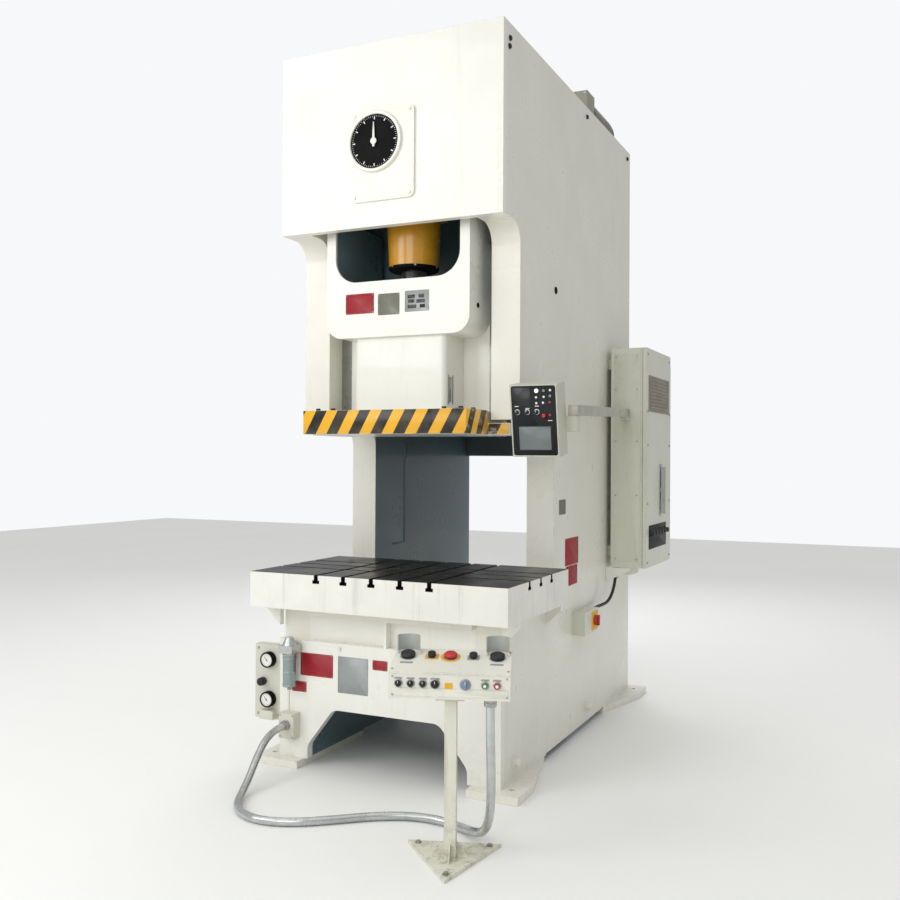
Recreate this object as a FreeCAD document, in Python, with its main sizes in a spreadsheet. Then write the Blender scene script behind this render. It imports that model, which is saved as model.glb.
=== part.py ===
import FreeCAD, Part
import Sketcher
import math
import os
import re

# C-frame mechanical stamping press. Millimetres, +Z up, +X to the right seen from the
# front, +Y to the rear. The origin is on the floor, under the ram axis.

doc = FreeCAD.newDocument("StampingPress")
sheet = doc.addObject("Spreadsheet::Sheet", "Dimensions")
NODES = []

SIZES = {
    # frame
    "frame_width": (1190, "over both side frames"),
    "side_plate": (55, "side frame plate"),
    "doubler": (90, "inner doubler along the throat"),
    "head_reach": (286, "front of the crown, ahead of the ram axis"),
    "frame_rear": (1894, "back of the frame behind the ram axis"),
    "total_height": (3500, "floor to top of the frame"),
    "head_bottom": (2620, "underside of the crown"),
    "column_reach": (68, "front of the columns, ahead of the ram axis"),
    "column_bottom": (1700, "underside of the columns"),
    "throat_edge": (413, "front of the throat wall behind the ram axis"),
    "doubler_rear": (759, "back of the doubler"),
    "bed_reach": (280, "front of the bed, ahead of the ram axis"),
    "table_height": (786, "underside of the bolster"),
    "foot_thick": (36, "foot plate"),
    "cross_plate": (45, "front, top and cross plates"),
    "throat_round": (130, "corner of the throat"),
    "head_round": (100, "corner between column and crown"),
    # bed
    "arch_half": (430, "half width of the bed arch"),
    "arch_top": (292, "top of the bed arch"),
    "arch_flat_half": (285, "half width of the arch's flat top"),
    "arch_spring": (104, "height where the arch leaves the legs"),
    "arch_round": (60, "corners of the arch"),
    "front_plate_top": (615, "top of the bed's front plate"),
    "table_thick": (50, "plate under the bolster"),
    "rib_thick": (16, "rib in the middle of the bed's recess"),
    "ear_rear": (300, "rear brackets under the bolster"),
    "ear_inset": (4, "bracket's tip inside the bolster's side"),
    "ear_tall": (105, "bracket"),
    "ear_lip": (28, "bracket at its tip"),
    "ear_thick": (30, "bracket"),
    "foot_out": (105, "how far a foot plate stands out"),
    "foot_long": (635, "length of a foot plate"),
    "rear_cover_low": (1530, "lower edge of the rear cover"),
    "rear_tie_top": (620, "upper edge of the low rear plate"),
    "foot_lead": (60, "foot plate beyond the frame's end"),
    "foot_square": (190, "foot plate's full-width length"),
    "anchor_hole": (14, "radius of an anchor hole"),
    "anchor_out": (60, "anchor hole from the frame's side"),
    "anchor_in": (90, "anchor hole from the foot plate's outer end"),
    # bolster
    "bolster_width": (1360, "left to right"),
    "bolster_reach": (414, "front of the bolster, ahead of the ram axis"),
    "bolster_gap": (8, "gap to the throat wall"),
    "bolster_thick": (172, "thickness"),
    "slot_pitch": (150, "distance between slots"),
    "slot_mouth": (22, "width of a slot's mouth"),
    "slot_head": (38, "width of a slot's head"),
    "slot_head_tall": (16, "height of a slot's head"),
    "slot_deep": (40, "depth of a slot"),
    # slide
    "die_height": (671, "bolster to slide, slide up"),
    "flange_half": (436, "half width of the slide's flange"),
    "flange_reach": (324, "front of the flange, ahead of the ram axis"),
    "flange_tall": (115, "height of the flange"),
    "wing_half": (545, "half width of the low wings"),
    "wing_tall": (55, "height of the wings"),
    "wing_rear": (240, "back of the wings"),
    "waist_half": (250, "half width of the waist"),
    "waist_reach": (160, "front of the waist, ahead of the ram axis"),
    "wing_gap": (4, "flange's back ahead of the columns"),
    "waist_round": (30, "front edges of the waist"),
    "yoke_half": (390, "half width of the upper slide"),
    "yoke_reach": (190, "front of the upper slide, ahead of the ram axis"),
    "yoke_bottom": (2105, "underside of the yoke's shoulders"),
    "yoke_inner": (340, "half width between the yoke's arms"),
    "yoke_floor": (2378, "top of the slide between the arms"),
    "yoke_top": (2700, "top of the arms"),
    "yoke_round": (85, "outer corners of the yoke"),
    "yoke_inner_round": (120, "inner corners of the yoke"),
    "guide_front": (54, "front of the guided block behind the ram axis"),
    "guide_rear": (280, "back of the guided block"),
    "guide_top": (2560, "top of the gibs"),
    "slide_play": (0.5, "play between slide and gibs"),
    "shank_hole": (25, "radius of the tool shank hole"),
    "shank_deep": (80, "depth of the shank hole"),
    "bar_half": (244, "half length of the knock-out bar"),
    "bar_wide": (34, "width of the knock-out bar"),
    "bar_tall": (60, "height of the knock-out bar"),
    "bar_travel": (60, "travel of the knock-out bar"),
    "bar_gap": (0.3, "gap round the knock-out bar"),
    "bar_low": (1785, "underside of the knock-out bar"),
    "bar_centre": (95, "knock-out bar ahead of the ram axis"),
    # drive
    "crank_height": (3000, "crank axis"),
    "crank_throw": (100, "half the stroke"),
    "rod_long": (850, "ball centre to crank pin"),
    "pin_radius": (70, "crank pin"),
    "journal_radius": (90, "crank journals"),
    "running_play": (0.05, "radial play of shafts"),
    "web_radius": (185, "crank webs"),
    "web_front": (95, "crank web from the ram axis"),
    "web_thick": (50, "crank web"),
    "eye_half": (240, "half width of the rod's eye"),
    "eye_deep": (88, "half depth of the rod's eye"),
    "eye_slot": (104, "half height of the slot in the eye"),
    "eye_shift": (80, "half length of the slot's straight part"),
    "eye_low": (200, "underside of the eye below the crank pin"),
    "eye_high": (190, "top of the eye above the crank pin"),
    "eye_round": (70, "corners of the eye"),
    "rod_radius_top": (140, "rod tube, upper end"),
    "rod_radius_low": (125, "rod tube, lower end"),
    "rod_low": (2465, "lower end of the rod tube"),
    "rod_high": (2785, "upper end of the rod tube"),
    "screw_radius": (60, "adjusting screw"),
    "ball_radius": (85, "ball of the adjusting screw"),
    "ball_play": (0.4, "gap round the ball"),
    "ball_well": (100, "well above the ball"),
    "wall_front": (330, "guide wall behind the ram axis"),
    "wall_thick": (60, "guide wall"),
    "wall_low": (1740, "lower edge of the guide wall"),
    "gear_front": (860, "main gear behind the ram axis"),
    "gear_thick": (100, "main gear"),
    "gear_teeth": (52, "teeth of the main gear"),
    "pinion_teeth": (10, "teeth of the pinion"),
    "gear_module": (10, "pitch diameter per tooth"),
    "gear_hub": (130, "hub of the main gear"),
    "hub_out": (40, "hub ahead of the main gear"),
    "pinion_over": (5, "pinion beyond each side of the gear"),
    "shaft_end": (12, "shafts beyond their last bearing"),
    "rear_web": (1040, "rear bearing wall behind the ram axis"),
    "rear_web_low": (2400, "lower edge of the rear bearing wall"),
    "pinion_shaft": (40, "radius of the pinion shaft"),
    "clutch_radius": (135, "clutch drum"),
    "clutch_front": (1125, "clutch drum behind the ram axis"),
    "clutch_thick": (100, "clutch drum"),
    "wheel_front": (1250, "flywheel behind the ram axis"),
    "wheel_thick": (140, "flywheel rim"),
    "wheel_radius": (300, "flywheel"),
    "wheel_rim": (60, "depth of the flywheel's rim"),
    "wheel_hub": (90, "flywheel hub"),
    "wheel_web": (60, "flywheel disc"),
    "belt_thick": (10, "drive belt"),
    "belt_wide": (110, "drive belt"),
    "belt_gap": (0.5, "gap between belt and wheels"),
    "pulley_radius": (70, "motor pulley"),
    "motor_x": (395, "motor axis to the right of the ram axis"),
    "motor_height": (3620, "motor axis"),
    "motor_radius": (112, "motor"),
    "motor_front": (1412, "motor behind the ram axis"),
    "motor_long": (380, "motor"),
    "cowl_long": (60, "fan cowl"),
    "cowl_step": (6, "fan cowl inside the motor's radius"),
    "motor_foot": (60, "motor feet from the motor's ends"),
    "motor_foot_sink": (30, "motor feet up into the barrel"),
    "terminal_out": (40, "terminal box beside the motor"),
    "terminal_long": (90, "terminal box"),
    "motor_shaft": (20, "radius of the motor shaft"),
    "guard_left": (200, "left side of the belt guard"),
    "guard_wide": (306, "belt guard"),
    "guard_tall": (212, "belt guard"),
    "guard_wall": (4, "belt guard sheet"),
    # angle dial
    "dial_x": (-58, "dial centre"),
    "dial_height": (3019, "dial centre"),
    "dial_plate_left": (-193, "left edge of the cover"),
    "dial_plate_right": (150, "right edge of the cover"),
    "dial_plate_low": (2738, "lower edge of the cover"),
    "dial_plate_high": (3175, "upper edge of the cover"),
    "dial_plate_thick": (12, "cover"),
    "dial_plate_round": (30, "corners of the cover"),
    "dial_radius": (130, "black face"),
    "dial_face": (6, "thickness of the face"),
    "bezel_radius": (143, "outside of the bezel"),
    "bezel_tall": (14, "bezel above the cover"),
    "pocket_radius": (120, "pocket behind the cover"),
    "dial_teeth": (16, "teeth of both dial gears"),
    "dial_gear": (14, "thickness of the dial gears"),
    "nose_long": (24, "nose ahead of the journal"),
    "nose_radius": (14, "nose of the crankshaft"),
    "hand_gap": (3, "pointer ahead of the face"),
    "hand_thick": (4, "pointer"),
    "hand_half": (5, "half width of the pointer"),
    "hand_hub": (16, "hub of the pointer"),
    "hand_tail": (26, "pointer below its hub"),
    "hand_long": (92, "pointer above its hub"),
    "pointer_shaft": (8, "radius of the pointer shaft"),
    "boss_radius": (150, "boss of the front bearing"),
    "boss_rear": (165, "back of the front bearing, ahead of the ram axis"),
    # two-hand console
    "console_x": (675, "post axis"),
    "console_y": (-975, "post axis"),
    "console_turn": (19.08, "degrees to the left of the frame"),
    "console_half": (227, "half width"),
    "console_front": (70, "front ahead of the post axis"),
    "console_rear": (110, "back behind the post axis"),
    "console_low": (623, "underside"),
    "console_lip": (722, "front upper edge"),
    "console_high": (773, "rear upper edge"),
    "console_wall": (4, "sheet"),
    "post_side": (45, "side of the post's square tube"),
    "base_thick": (12, "base plate"),
    "base_half": (184, "half width of the base plate"),
    "base_rear": (148, "back of the base plate behind the post"),
    "base_tip": (203, "tip of the base plate ahead of the post"),
    "palm_radius": (24, "palm button"),
    "palm_place": (172, "palm buttons from the middle"),
    "stop_radius": (21, "stop button"),
    "push_radius": (11, "small push buttons"),
    "push_place": (80, "small push buttons from the middle"),
    "knob_radius": (12, "console knobs"),
    "cap_height": (14, "standing height of a cap"),
    "collar_height": (6, "height of a button's collar"),
    "stop_place": (-8, "stop button from the middle"),
    "lid_line": (50, "buttons on the lid behind the post axis"),
    "front_line": (680, "height of the knobs on the front"),
    "knob_first": (-191, "first front knob from the middle"),
    "knob_pitch": (46, "distance between front knobs"),
    "large_knob_radius": (15, "last front knob"),
    "mode_place": (60, "mode selector from the middle"),
    "mode_radius": (17, "mode selector"),
    "run_place": (133, "run button from the middle"),
    "run_pitch": (45, "halt button from the run button"),
    "cap_sunk": (14, "stems inside the housing"),
    "cap_brim": (5, "caps wider than their stems"),
    "cap_gap": (5, "front caps ahead of the housing"),
    "guard_sink": (10, "guards into the lid"),
    "guard_back": (14, "guards start behind the buttons' middle"),
    "button_play": (0.4, "radial play of a button"),
    "guard_radius": (47, "palm guard"),
    "palm_guard_tall": (78, "palm guard above the console"),
    # control cabinet, pendant and side gear
    "cabinet_front": (1368, "front face"),
    "cabinet_rear": (2000, "rear face"),
    "cabinet_deep": (245, "from the frame's side"),
    "cabinet_low": (868, "underside"),
    "cabinet_high": (2176, "top"),
    "cabinet_wall": (4, "sheet"),
    "cabinet_stand": (30, "spacers between frame and cabinet"),
    "door_thick": (22, "door"),
    "door_gap": (2, "gap round the door"),
    "handle_place": (1726, "door handle behind the ram axis"),
    "handle_mid": (1322, "height of the door handle"),
    "handle_long": (290, "door handle"),
    "handle_stem": (8, "stem of the door handle"),
    "handle_catch": (14, "stem inside the door"),
    "handle_gap": (8, "finger gap behind the handle"),
    "handle_out": (30, "handle in front of the door"),
    "handle_wide": (26, "door handle"),
    "rail_inset": (60, "rails, hinge and fittings from the cabinet's ends"),
    "rail_tall": (60, "rails that carry the cabinet"),
    "hinge_pin": (5, "door hinge pin"),
    "hinge_barrel": (9, "door hinge barrel"),
    "hinge_ear": (8, "ears of the door hinge"),
    "hinge_out": (14, "hinge line behind the cabinet"),
    "arm_ear": (12, "ears that carry the pendant arm"),
    "arm_gap": (1, "gap between arm and ears"),
    "arm_stub_long": (72, "pin under the arm's outer end"),
    "tray_less": (25, "cable tray left of the arm's pivot"),
    "tray_more": (40, "cable tray right of the arm's pivot"),
    "tray_long": (160, "cable tray"),
    "tray_tall": (40, "cable tray"),
    "arm_x": (715, "pivot of the pendant arm"),
    "arm_y": (1330, "pivot of the pendant arm"),
    "arm_height": (1786, "pivot of the pendant arm"),
    "arm_turn": (5.9, "degrees that the arm stands out"),
    "arm_long": (1415, "pendant arm"),
    "arm_drop": (48, "fall of the arm to its outer end"),
    "arm_side": (48, "side of the arm's tube"),
    "arm_pin": (14, "arm pivot pin"),
    "pendant_x": (712, "centre of the pendant's face"),
    "pendant_y": (-185, "centre of the pendant's face"),
    "pendant_height": (1688, "centre of the pendant's face"),
    "pendant_tilt": (9, "degrees that the face looks down"),
    "pendant_half": (113, "half width"),
    "pendant_half_tall": (165, "half height"),
    "pendant_deep": (110, "depth"),
    "selector_radius": (10, "pendant selectors"),
    "box_front": (728, "disconnect box, front"),
    "box_long": (250, "disconnect box"),
    "box_low": (562, "disconnect box, underside"),
    "box_tall": (123, "disconnect box"),
    "box_deep": (72, "disconnect box"),
    "box_knob": (30, "disconnect knob"),
    "box_knob_deep": (26, "disconnect knob"),
    "gland_long": (14, "cable gland"),
    "box_stem": (9, "stem of the disconnect knob"),
    # air gear at the left
    "panel_left": (-757, "left edge of the air panel"),
    "panel_low": (200, "lower edge of the air panel"),
    "panel_high": (572, "upper edge of the air panel"),
    "panel_thick": (55, "air panel"),
    "panel_front": (-262, "front face of the air panel"),
    "gauge_x": (-668, "pressure gauges"),
    "gauge_high": (500, "upper gauge"),
    "gauge_low": (302, "lower gauge"),
    "gauge_radius": (38, "gauges"),
    "gauge_deep": (30, "gauges"),
    "regulator_x": (-704, "regulator knob"),
    "regulator_height": (388, "regulator knob"),
    "regulator_radius": (20, "regulator knob"),
    "regulator_deep": (34, "regulator knob"),
    "regulator_stem": (7, "stem of the regulator knob"),
    "valve_tall": (44, "valve block"),
    "valve_wide": (80, "valve block"),
    "valve_deep": (34, "valve block"),
    "junction_x": (-519, "middle of the junction box"),
    "junction_mid": (199, "height of the junction box's middle"),
    "junction_wide": (90, "junction box"),
    "junction_tall": (124, "junction box"),
    "junction_deep": (52, "junction box"),
    "bowl_x": (-503, "axis of the filter and oiler"),
    "bowl_radius": (32, "filter and oiler bowls"),
    "bowl_low": (396, "underside of the bowl"),
    "bowl_high": (560, "top of the bowl"),
    "head_tall": (76, "head above the bowl"),
    "head_half": (40, "half width of the head"),
    "bowl_reach": (52, "bowl axis ahead of the bed front"),
    "conduit_radius": (17.5, "console conduit"),
    "cable_radius": (9, "supply cable"),
}


def fill_sheet():
    sheet.set("A1", "name")
    sheet.set("B1", "millimetres, degrees or a count")
    for row, (alias, (value, words)) in enumerate(SIZES.items(), start=2):
        sheet.set(f"A{row}", alias)
        sheet.set(f"B{row}", str(value))
        sheet.setAlias(f"B{row}", alias)
        sheet.set(f"C{row}", words)
    doc.recompute()


fill_sheet()
ALIAS = re.compile(r"\b(" + "|".join(sorted(SIZES, key=len, reverse=True)) + r")\b")
NAMES = {alias: value for alias, (value, words) in SIZES.items()}


# ------------------------------------------------------------------ small modelling words

def bound(text):
    """The expression with each alias pointed at the sheet."""
    return ALIAS.sub(r"Dimensions.\1", text)


def number(text):
    """The value of an expression in the sheet's names, read through the sheet."""
    value = sheet.evalExpression(bound(text))
    return float(getattr(value, "Value", value))


def tie(thing, prop, text):
    thing.setExpression(prop, bound(text))


def place(thing, x="0", y="0", z="0", axis=None, angle=None):
    """Bind a placement: its base, and an optional turn about a fixed axis."""
    if axis:
        turn = FreeCAD.Rotation(FreeCAD.Vector(*axis), number(angle))
        thing.Placement = FreeCAD.Placement(FreeCAD.Vector(), turn)
        tie(thing, "Placement.Rotation.Angle", angle)
    for letter, text in zip("xyz", (x, y, z)):
        tie(thing, f"Placement.Base.{letter}", text)
    return thing


def box(name, x, y, z):
    thing = doc.addObject("Part::Box", name)
    for prop, (low, high) in zip(("Length", "Width", "Height"), (x, y, z)):
        tie(thing, prop, f"({high}) - ({low})")
    return place(thing, x[0], y[0], z[0])


TURNS = {"X": ((0, 1, 0), 90), "Y": ((1, 0, 0), -90), "Z": ((0, 0, 1), 0)}


def lay(thing, axis, across, low):
    """Stand a primitive made along Z on an axis; across is its place on the other two."""
    turn, angle = TURNS[axis]
    spin = FreeCAD.Rotation(FreeCAD.Vector(*turn), angle)
    thing.Placement = FreeCAD.Placement(FreeCAD.Vector(), spin)
    spots = {"X": (low, *across), "Y": (across[0], low, across[1]), "Z": (*across, low)}
    for letter, text in zip("xyz", spots[axis]):
        tie(thing, f"Placement.Base.{letter}", text)
    return thing


def round_bar(name, axis, across, low, high, radius):
    thing = doc.addObject("Part::Cylinder", name)
    tie(thing, "Radius", radius)
    tie(thing, "Height", f"({high}) - ({low})")
    return lay(thing, axis, across, low)


def cone(name, axis, across, low, high, radius_low, radius_high):
    thing = doc.addObject("Part::Cone", name)
    tie(thing, "Radius1", radius_low)
    tie(thing, "Radius2", radius_high)
    tie(thing, "Height", f"({high}) - ({low})")
    return lay(thing, axis, across, low)


def ball(name, x, y, z, radius):
    thing = doc.addObject("Part::Sphere", name)
    tie(thing, "Radius", radius)
    return place(thing, x, y, z)


def join(name, *parts):
    thing = doc.addObject("Part::MultiFuse", name)
    thing.Shapes = list(parts)
    thing.Refine = True
    return thing


def group(name, *parts):
    """Several equal solids in one sub-part."""
    thing = doc.addObject("Part::Compound", name)
    thing.Links = list(parts)
    return thing


def cut(name, base, *tools):
    thing = doc.addObject("Part::Cut", name)
    thing.Base = base
    thing.Tool = tools[0] if len(tools) == 1 else join(name + "_tools", *tools)
    return thing


PLANES = {"XY": "XY_Plane", "XZ": "XZ_Plane", "YZ": "YZ_Plane"}


def sketch_loop(sketch, points):
    """A closed polygon whose corners are bound to the sheet."""
    spots = [FreeCAD.Vector(number(u), number(v), 0) for u, v in points]
    first = sketch.GeometryCount
    for here, there in zip(spots, spots[1:] + spots[:1]):
        sketch.addGeometry(Part.LineSegment(here, there), False)
    count = len(points)
    for side in range(count):
        following = first + (side + 1) % count
        sketch.addConstraint(Sketcher.Constraint("Coincident", first + side, 2, following, 1))
    for side, (spot, texts) in enumerate(zip(spots, points)):
        for kind, value, text in zip(("DistanceX", "DistanceY"), (spot.x, spot.y), texts):
            rule = Sketcher.Constraint(kind, -1, 1, first + side, 1, value)
            index = sketch.addConstraint(rule)
            tie(sketch, f"Constraints[{index}]", text)


def sketch_hole(sketch, u, v, radius):
    """A circle bound to the sheet."""
    centre = FreeCAD.Vector(number(u), number(v), 0)
    ring = sketch.GeometryCount
    normal = FreeCAD.Vector(0, 0, 1)
    sketch.addGeometry(Part.Circle(centre, normal, number(radius)), False)
    rules = (("DistanceX", u), ("DistanceY", v))
    for (kind, text), value in zip(rules, (centre.x, centre.y)):
        index = sketch.addConstraint(Sketcher.Constraint(kind, -1, 1, ring, 3, value))
        tie(sketch, f"Constraints[{index}]", text)
    index = sketch.addConstraint(Sketcher.Constraint("Radius", ring, number(radius)))
    tie(sketch, f"Constraints[{index}]", radius)


def new_sketch(body, plane):
    sketch = body.newObject("Sketcher::SketchObject", body.Name + "_outline")
    role = PLANES[plane]
    flat = next(item for item in body.Origin.OriginFeatures if item.Role == role)
    sketch.AttachmentSupport = [(flat, "")]
    sketch.MapMode = "FlatFace"
    return sketch


def corner_edges(shape, plane, points, corners):
    """Names of the edges that stand on the chosen corners of an outline."""
    fixed = {"XY": "z", "XZ": "y", "YZ": "x"}[plane]
    across = {"XY": "xy", "XZ": "xz", "YZ": "yz"}[plane]
    found = []
    for corner in corners:
        u, v = (number(text) for text in points[corner])
        for index, edge in enumerate(shape.Edges, start=1):
            ends = [vertex.Point for vertex in edge.Vertexes]
            if len(ends) != 2 or abs(getattr(ends[0] - ends[1], fixed)) < 1e-6:
                continue
            if all(abs(getattr(end, across[0]) - u) < 1e-4 for end in ends) \
                    and all(abs(getattr(end, across[1]) - v) < 1e-4 for end in ends):
                found.append(f"Edge{index}")
    return found


def plate(name, plane, points, low, high, rounds=(), holes=()):
    """A PartDesign body: an outline padded from low to high across its plane, with rounded
    corners, each (radius, corner numbers), and round holes, each (u, v, radius)."""
    body = doc.addObject("PartDesign::Body", name)
    sketch = new_sketch(body, plane)
    sketch_loop(sketch, points)
    for hole in holes:
        sketch_hole(sketch, *hole)
    pad = body.newObject("PartDesign::Pad", name + "_pad")
    pad.Profile = sketch
    tie(pad, "Length", f"({high}) - ({low})")
    pad.Reversed = plane == "XZ"
    doc.recompute()
    last = pad
    for step, (radius, corners) in enumerate(rounds):
        edges = corner_edges(last.Shape, plane, points, corners)
        fillet = body.newObject("PartDesign::Fillet", f"{name}_round{step}")
        fillet.Base = (last, edges)
        tie(fillet, "Radius", radius)
        doc.recompute()
        last = fillet
    body.Tip = last
    normal = {"XY": "z", "XZ": "y", "YZ": "x"}[plane]
    spot = {"x": "0", "y": "0", "z": "0"}
    spot[normal] = low
    return place(body, spot["x"], spot["y"], spot["z"])


def turned(name, axis, across, profile, base="0"):
    """A PartDesign revolution: profile points are (radius, distance along the axis)."""
    body = doc.addObject("PartDesign::Body", name)
    sketch = new_sketch(body, "XZ")
    sketch_loop(sketch, profile)
    spin = body.newObject("PartDesign::Revolution", name + "_turn")
    spin.Profile = sketch
    spin.ReferenceAxis = (sketch, ["V_Axis"])
    spin.Angle = 360
    doc.recompute()
    body.Tip = spin
    return lay(body, axis, across, base)


def node(thing, label):
    """Name a finished sub-part; its label is its file's name."""
    thing.Label = label
    NODES.append(thing)
    return thing


HALF = "frame_width / 2"
INSIDE = "(frame_width / 2 - side_plate)"
NARROW = "(frame_width / 2 - side_plate - doubler)"
HEAD_BACK = "-head_reach + cross_plate"
BED_BACK = "-bed_reach + cross_plate"
TOP_UNDER = "total_height - cross_plate"
REAR_INNER = "frame_rear - cross_plate"
SLIDE_LOW = "(table_height + bolster_thick + die_height)"
FLANGE_TOP = SLIDE_LOW + " + flange_tall"
BORE = " + running_play"


# ------------------------------------------------------------------ frame

def frame_outline(rear):
    """The C of a side frame, seen along X, as (y, z) corners."""
    return [(BED_BACK, "foot_thick"), (BED_BACK, "table_height"),
            ("throat_edge", "table_height"), ("throat_edge", "column_bottom"),
            ("-column_reach", "column_bottom"), ("-column_reach", "head_bottom"),
            (HEAD_BACK, "head_bottom"), (HEAD_BACK, "total_height"),
            (rear, "total_height"), (rear, "foot_thick")]


def side_frame(name, outer_low, outer_high, inner_low, inner_high):
    rounds = [("throat_round", [3]), ("head_round", [5])]
    skin = plate(name + "_skin", "YZ", frame_outline("frame_rear"), outer_low, outer_high,
                 rounds)
    lining = plate(name + "_lining", "YZ", frame_outline("doubler_rear"), inner_low,
                   inner_high, rounds)
    node(join(name, skin, lining), name)


def cross_plates():
    """The plates that tie the two side frames together."""
    nose_pocket = ("(dial_x) / 2", "crank_height", "pocket_radius")
    skin = plate("crown_front_skin", "XZ",
                 [("-" + HALF, "head_bottom"), (HALF, "head_bottom"),
                  (HALF, "total_height"), ("-" + HALF, "total_height")],
                 "-head_reach", HEAD_BACK, holes=[nose_pocket])
    boss = round_bar("front_boss", "Y", ("0", "crank_height"), HEAD_BACK, "-boss_rear",
                     "boss_radius")
    bore = round_bar("front_bore", "Y", ("0", "crank_height"), HEAD_BACK, "-boss_rear",
                     "journal_radius" + BORE)
    node(join("crown_front_plate", skin, cut("bored_boss", boss, bore)),
         "crown_front_plate")

    lid = box("crown_lid", ("-" + INSIDE, INSIDE), (HEAD_BACK, REAR_INNER),
              (TOP_UNDER, "total_height"))
    belt_way = box("belt_way", ("guard_left + guard_wall",
                                "guard_left + guard_wide - guard_wall"),
                   ("wheel_front", "wheel_front + wheel_thick"),
                   (TOP_UNDER, "total_height"))
    lining_left = box("lid_notch_left", ("-" + INSIDE, "-" + NARROW),
                      (HEAD_BACK, "doubler_rear"), (TOP_UNDER, "total_height"))
    lining_right = box("lid_notch_right", (NARROW, INSIDE), (HEAD_BACK, "doubler_rear"),
                       (TOP_UNDER, "total_height"))
    node(cut("crown_top_plate", lid, belt_way, lining_left, lining_right),
         "crown_top_plate")

    wall = box("guide_wall_blank", ("-" + NARROW, NARROW),
               ("wall_front", "wall_front + wall_thick"), ("wall_low", TOP_UNDER))
    wall_bore = round_bar("wall_bore", "Y", ("0", "crank_height"), "wall_front",
                          "wall_front + wall_thick", "journal_radius" + BORE)
    pinion_bore = round_bar("wall_pinion_bore", "Y", (PINION_X, PINION_Z), "wall_front",
                            "wall_front + wall_thick", "pinion_shaft" + BORE)
    node(cut("guide_wall", wall, wall_bore, pinion_bore), "guide_wall")

    web = box("rear_wall_blank", ("-" + INSIDE, INSIDE),
              ("rear_web", "rear_web + wall_thick"), ("rear_web_low", TOP_UNDER))
    web_bore = round_bar("web_bore", "Y", ("0", "crank_height"), "rear_web",
                         "rear_web + wall_thick", "journal_radius" + BORE)
    web_pinion = round_bar("web_pinion_bore", "Y", (PINION_X, PINION_Z), "rear_web",
                           "rear_web + wall_thick", "pinion_shaft" + BORE)
    bearing_wall = cut("rear_bearing_wall", web, web_bore, web_pinion)

    floor = box("floor_blank", ("-" + INSIDE, INSIDE),
                ("wall_front + wall_thick", "rear_web"),
                ("head_bottom", "head_bottom + cross_plate"))
    notch_left = box("floor_notch_left", ("-" + INSIDE, "-" + NARROW),
                     ("wall_front + wall_thick", "doubler_rear"),
                     ("head_bottom", "head_bottom + cross_plate"))
    notch_right = box("floor_notch_right", (NARROW, INSIDE),
                      ("wall_front + wall_thick", "doubler_rear"),
                      ("head_bottom", "head_bottom + cross_plate"))
    crown_floor = cut("crown_floor_plate", floor, notch_left, notch_right)
    node(join("drive_floor", crown_floor, bearing_wall), "drive_floor")

    node(box("rear_cover_plate", ("-" + INSIDE, INSIDE), (REAR_INNER, "frame_rear"),
             ("rear_cover_low", "total_height")), "rear_cover_plate")
    node(box("rear_tie_plate", ("-" + INSIDE, INSIDE), (REAR_INNER, "frame_rear"),
             ("foot_thick", "rear_tie_top")), "rear_tie_plate")


def foot_outline(side, front, rear, taper):
    """A foot plate that narrows to the frame's side at the end next to the other foot."""
    return [(f"{side} * {NARROW}", front), (f"{side} * ({HALF} + foot_out)", front),
            (f"{side} * ({HALF} + foot_out)", taper), (f"{side} * {HALF}", rear),
            (f"{side} * {NARROW}", rear)]


def foot_plates():
    feet = []
    hole_x = f"({HALF} + foot_out - anchor_out)"
    for side, words in (("-1", "left"), ("1", "right")):
        front = "-bed_reach - foot_lead"
        feet.append(plate(f"foot_front_{words}", "XY",
                          foot_outline(side, front, front + " + foot_long",
                                       front + " + foot_square"),
                          "0", "foot_thick",
                          holes=[(f"{side} * {hole_x}", front + " + anchor_in",
                                  "anchor_hole")]))
        back = "frame_rear + foot_lead"
        feet.append(plate(f"foot_rear_{words}", "XY",
                          foot_outline(side, back, f"{back} - foot_long",
                                       f"{back} - foot_square"),
                          "0", "foot_thick",
                          holes=[(f"{side} * {hole_x}", f"{back} - anchor_in",
                                  "anchor_hole")]))
    node(group("foot_plates", *feet), "foot_plates")


# ------------------------------------------------------------------ bed and bolster

def arch_outline(half, top):
    """A bed plate with its arch, standing on the foot plates, as (x, z) corners."""
    low = "foot_thick"
    return [("-" + half, low), ("-arch_half", low), ("-arch_half", "arch_spring"),
            ("-arch_flat_half", "arch_top"), ("arch_flat_half", "arch_top"),
            ("arch_half", "arch_spring"), ("arch_half", low), (half, low),
            (half, top), ("-" + half, top)]


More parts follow.
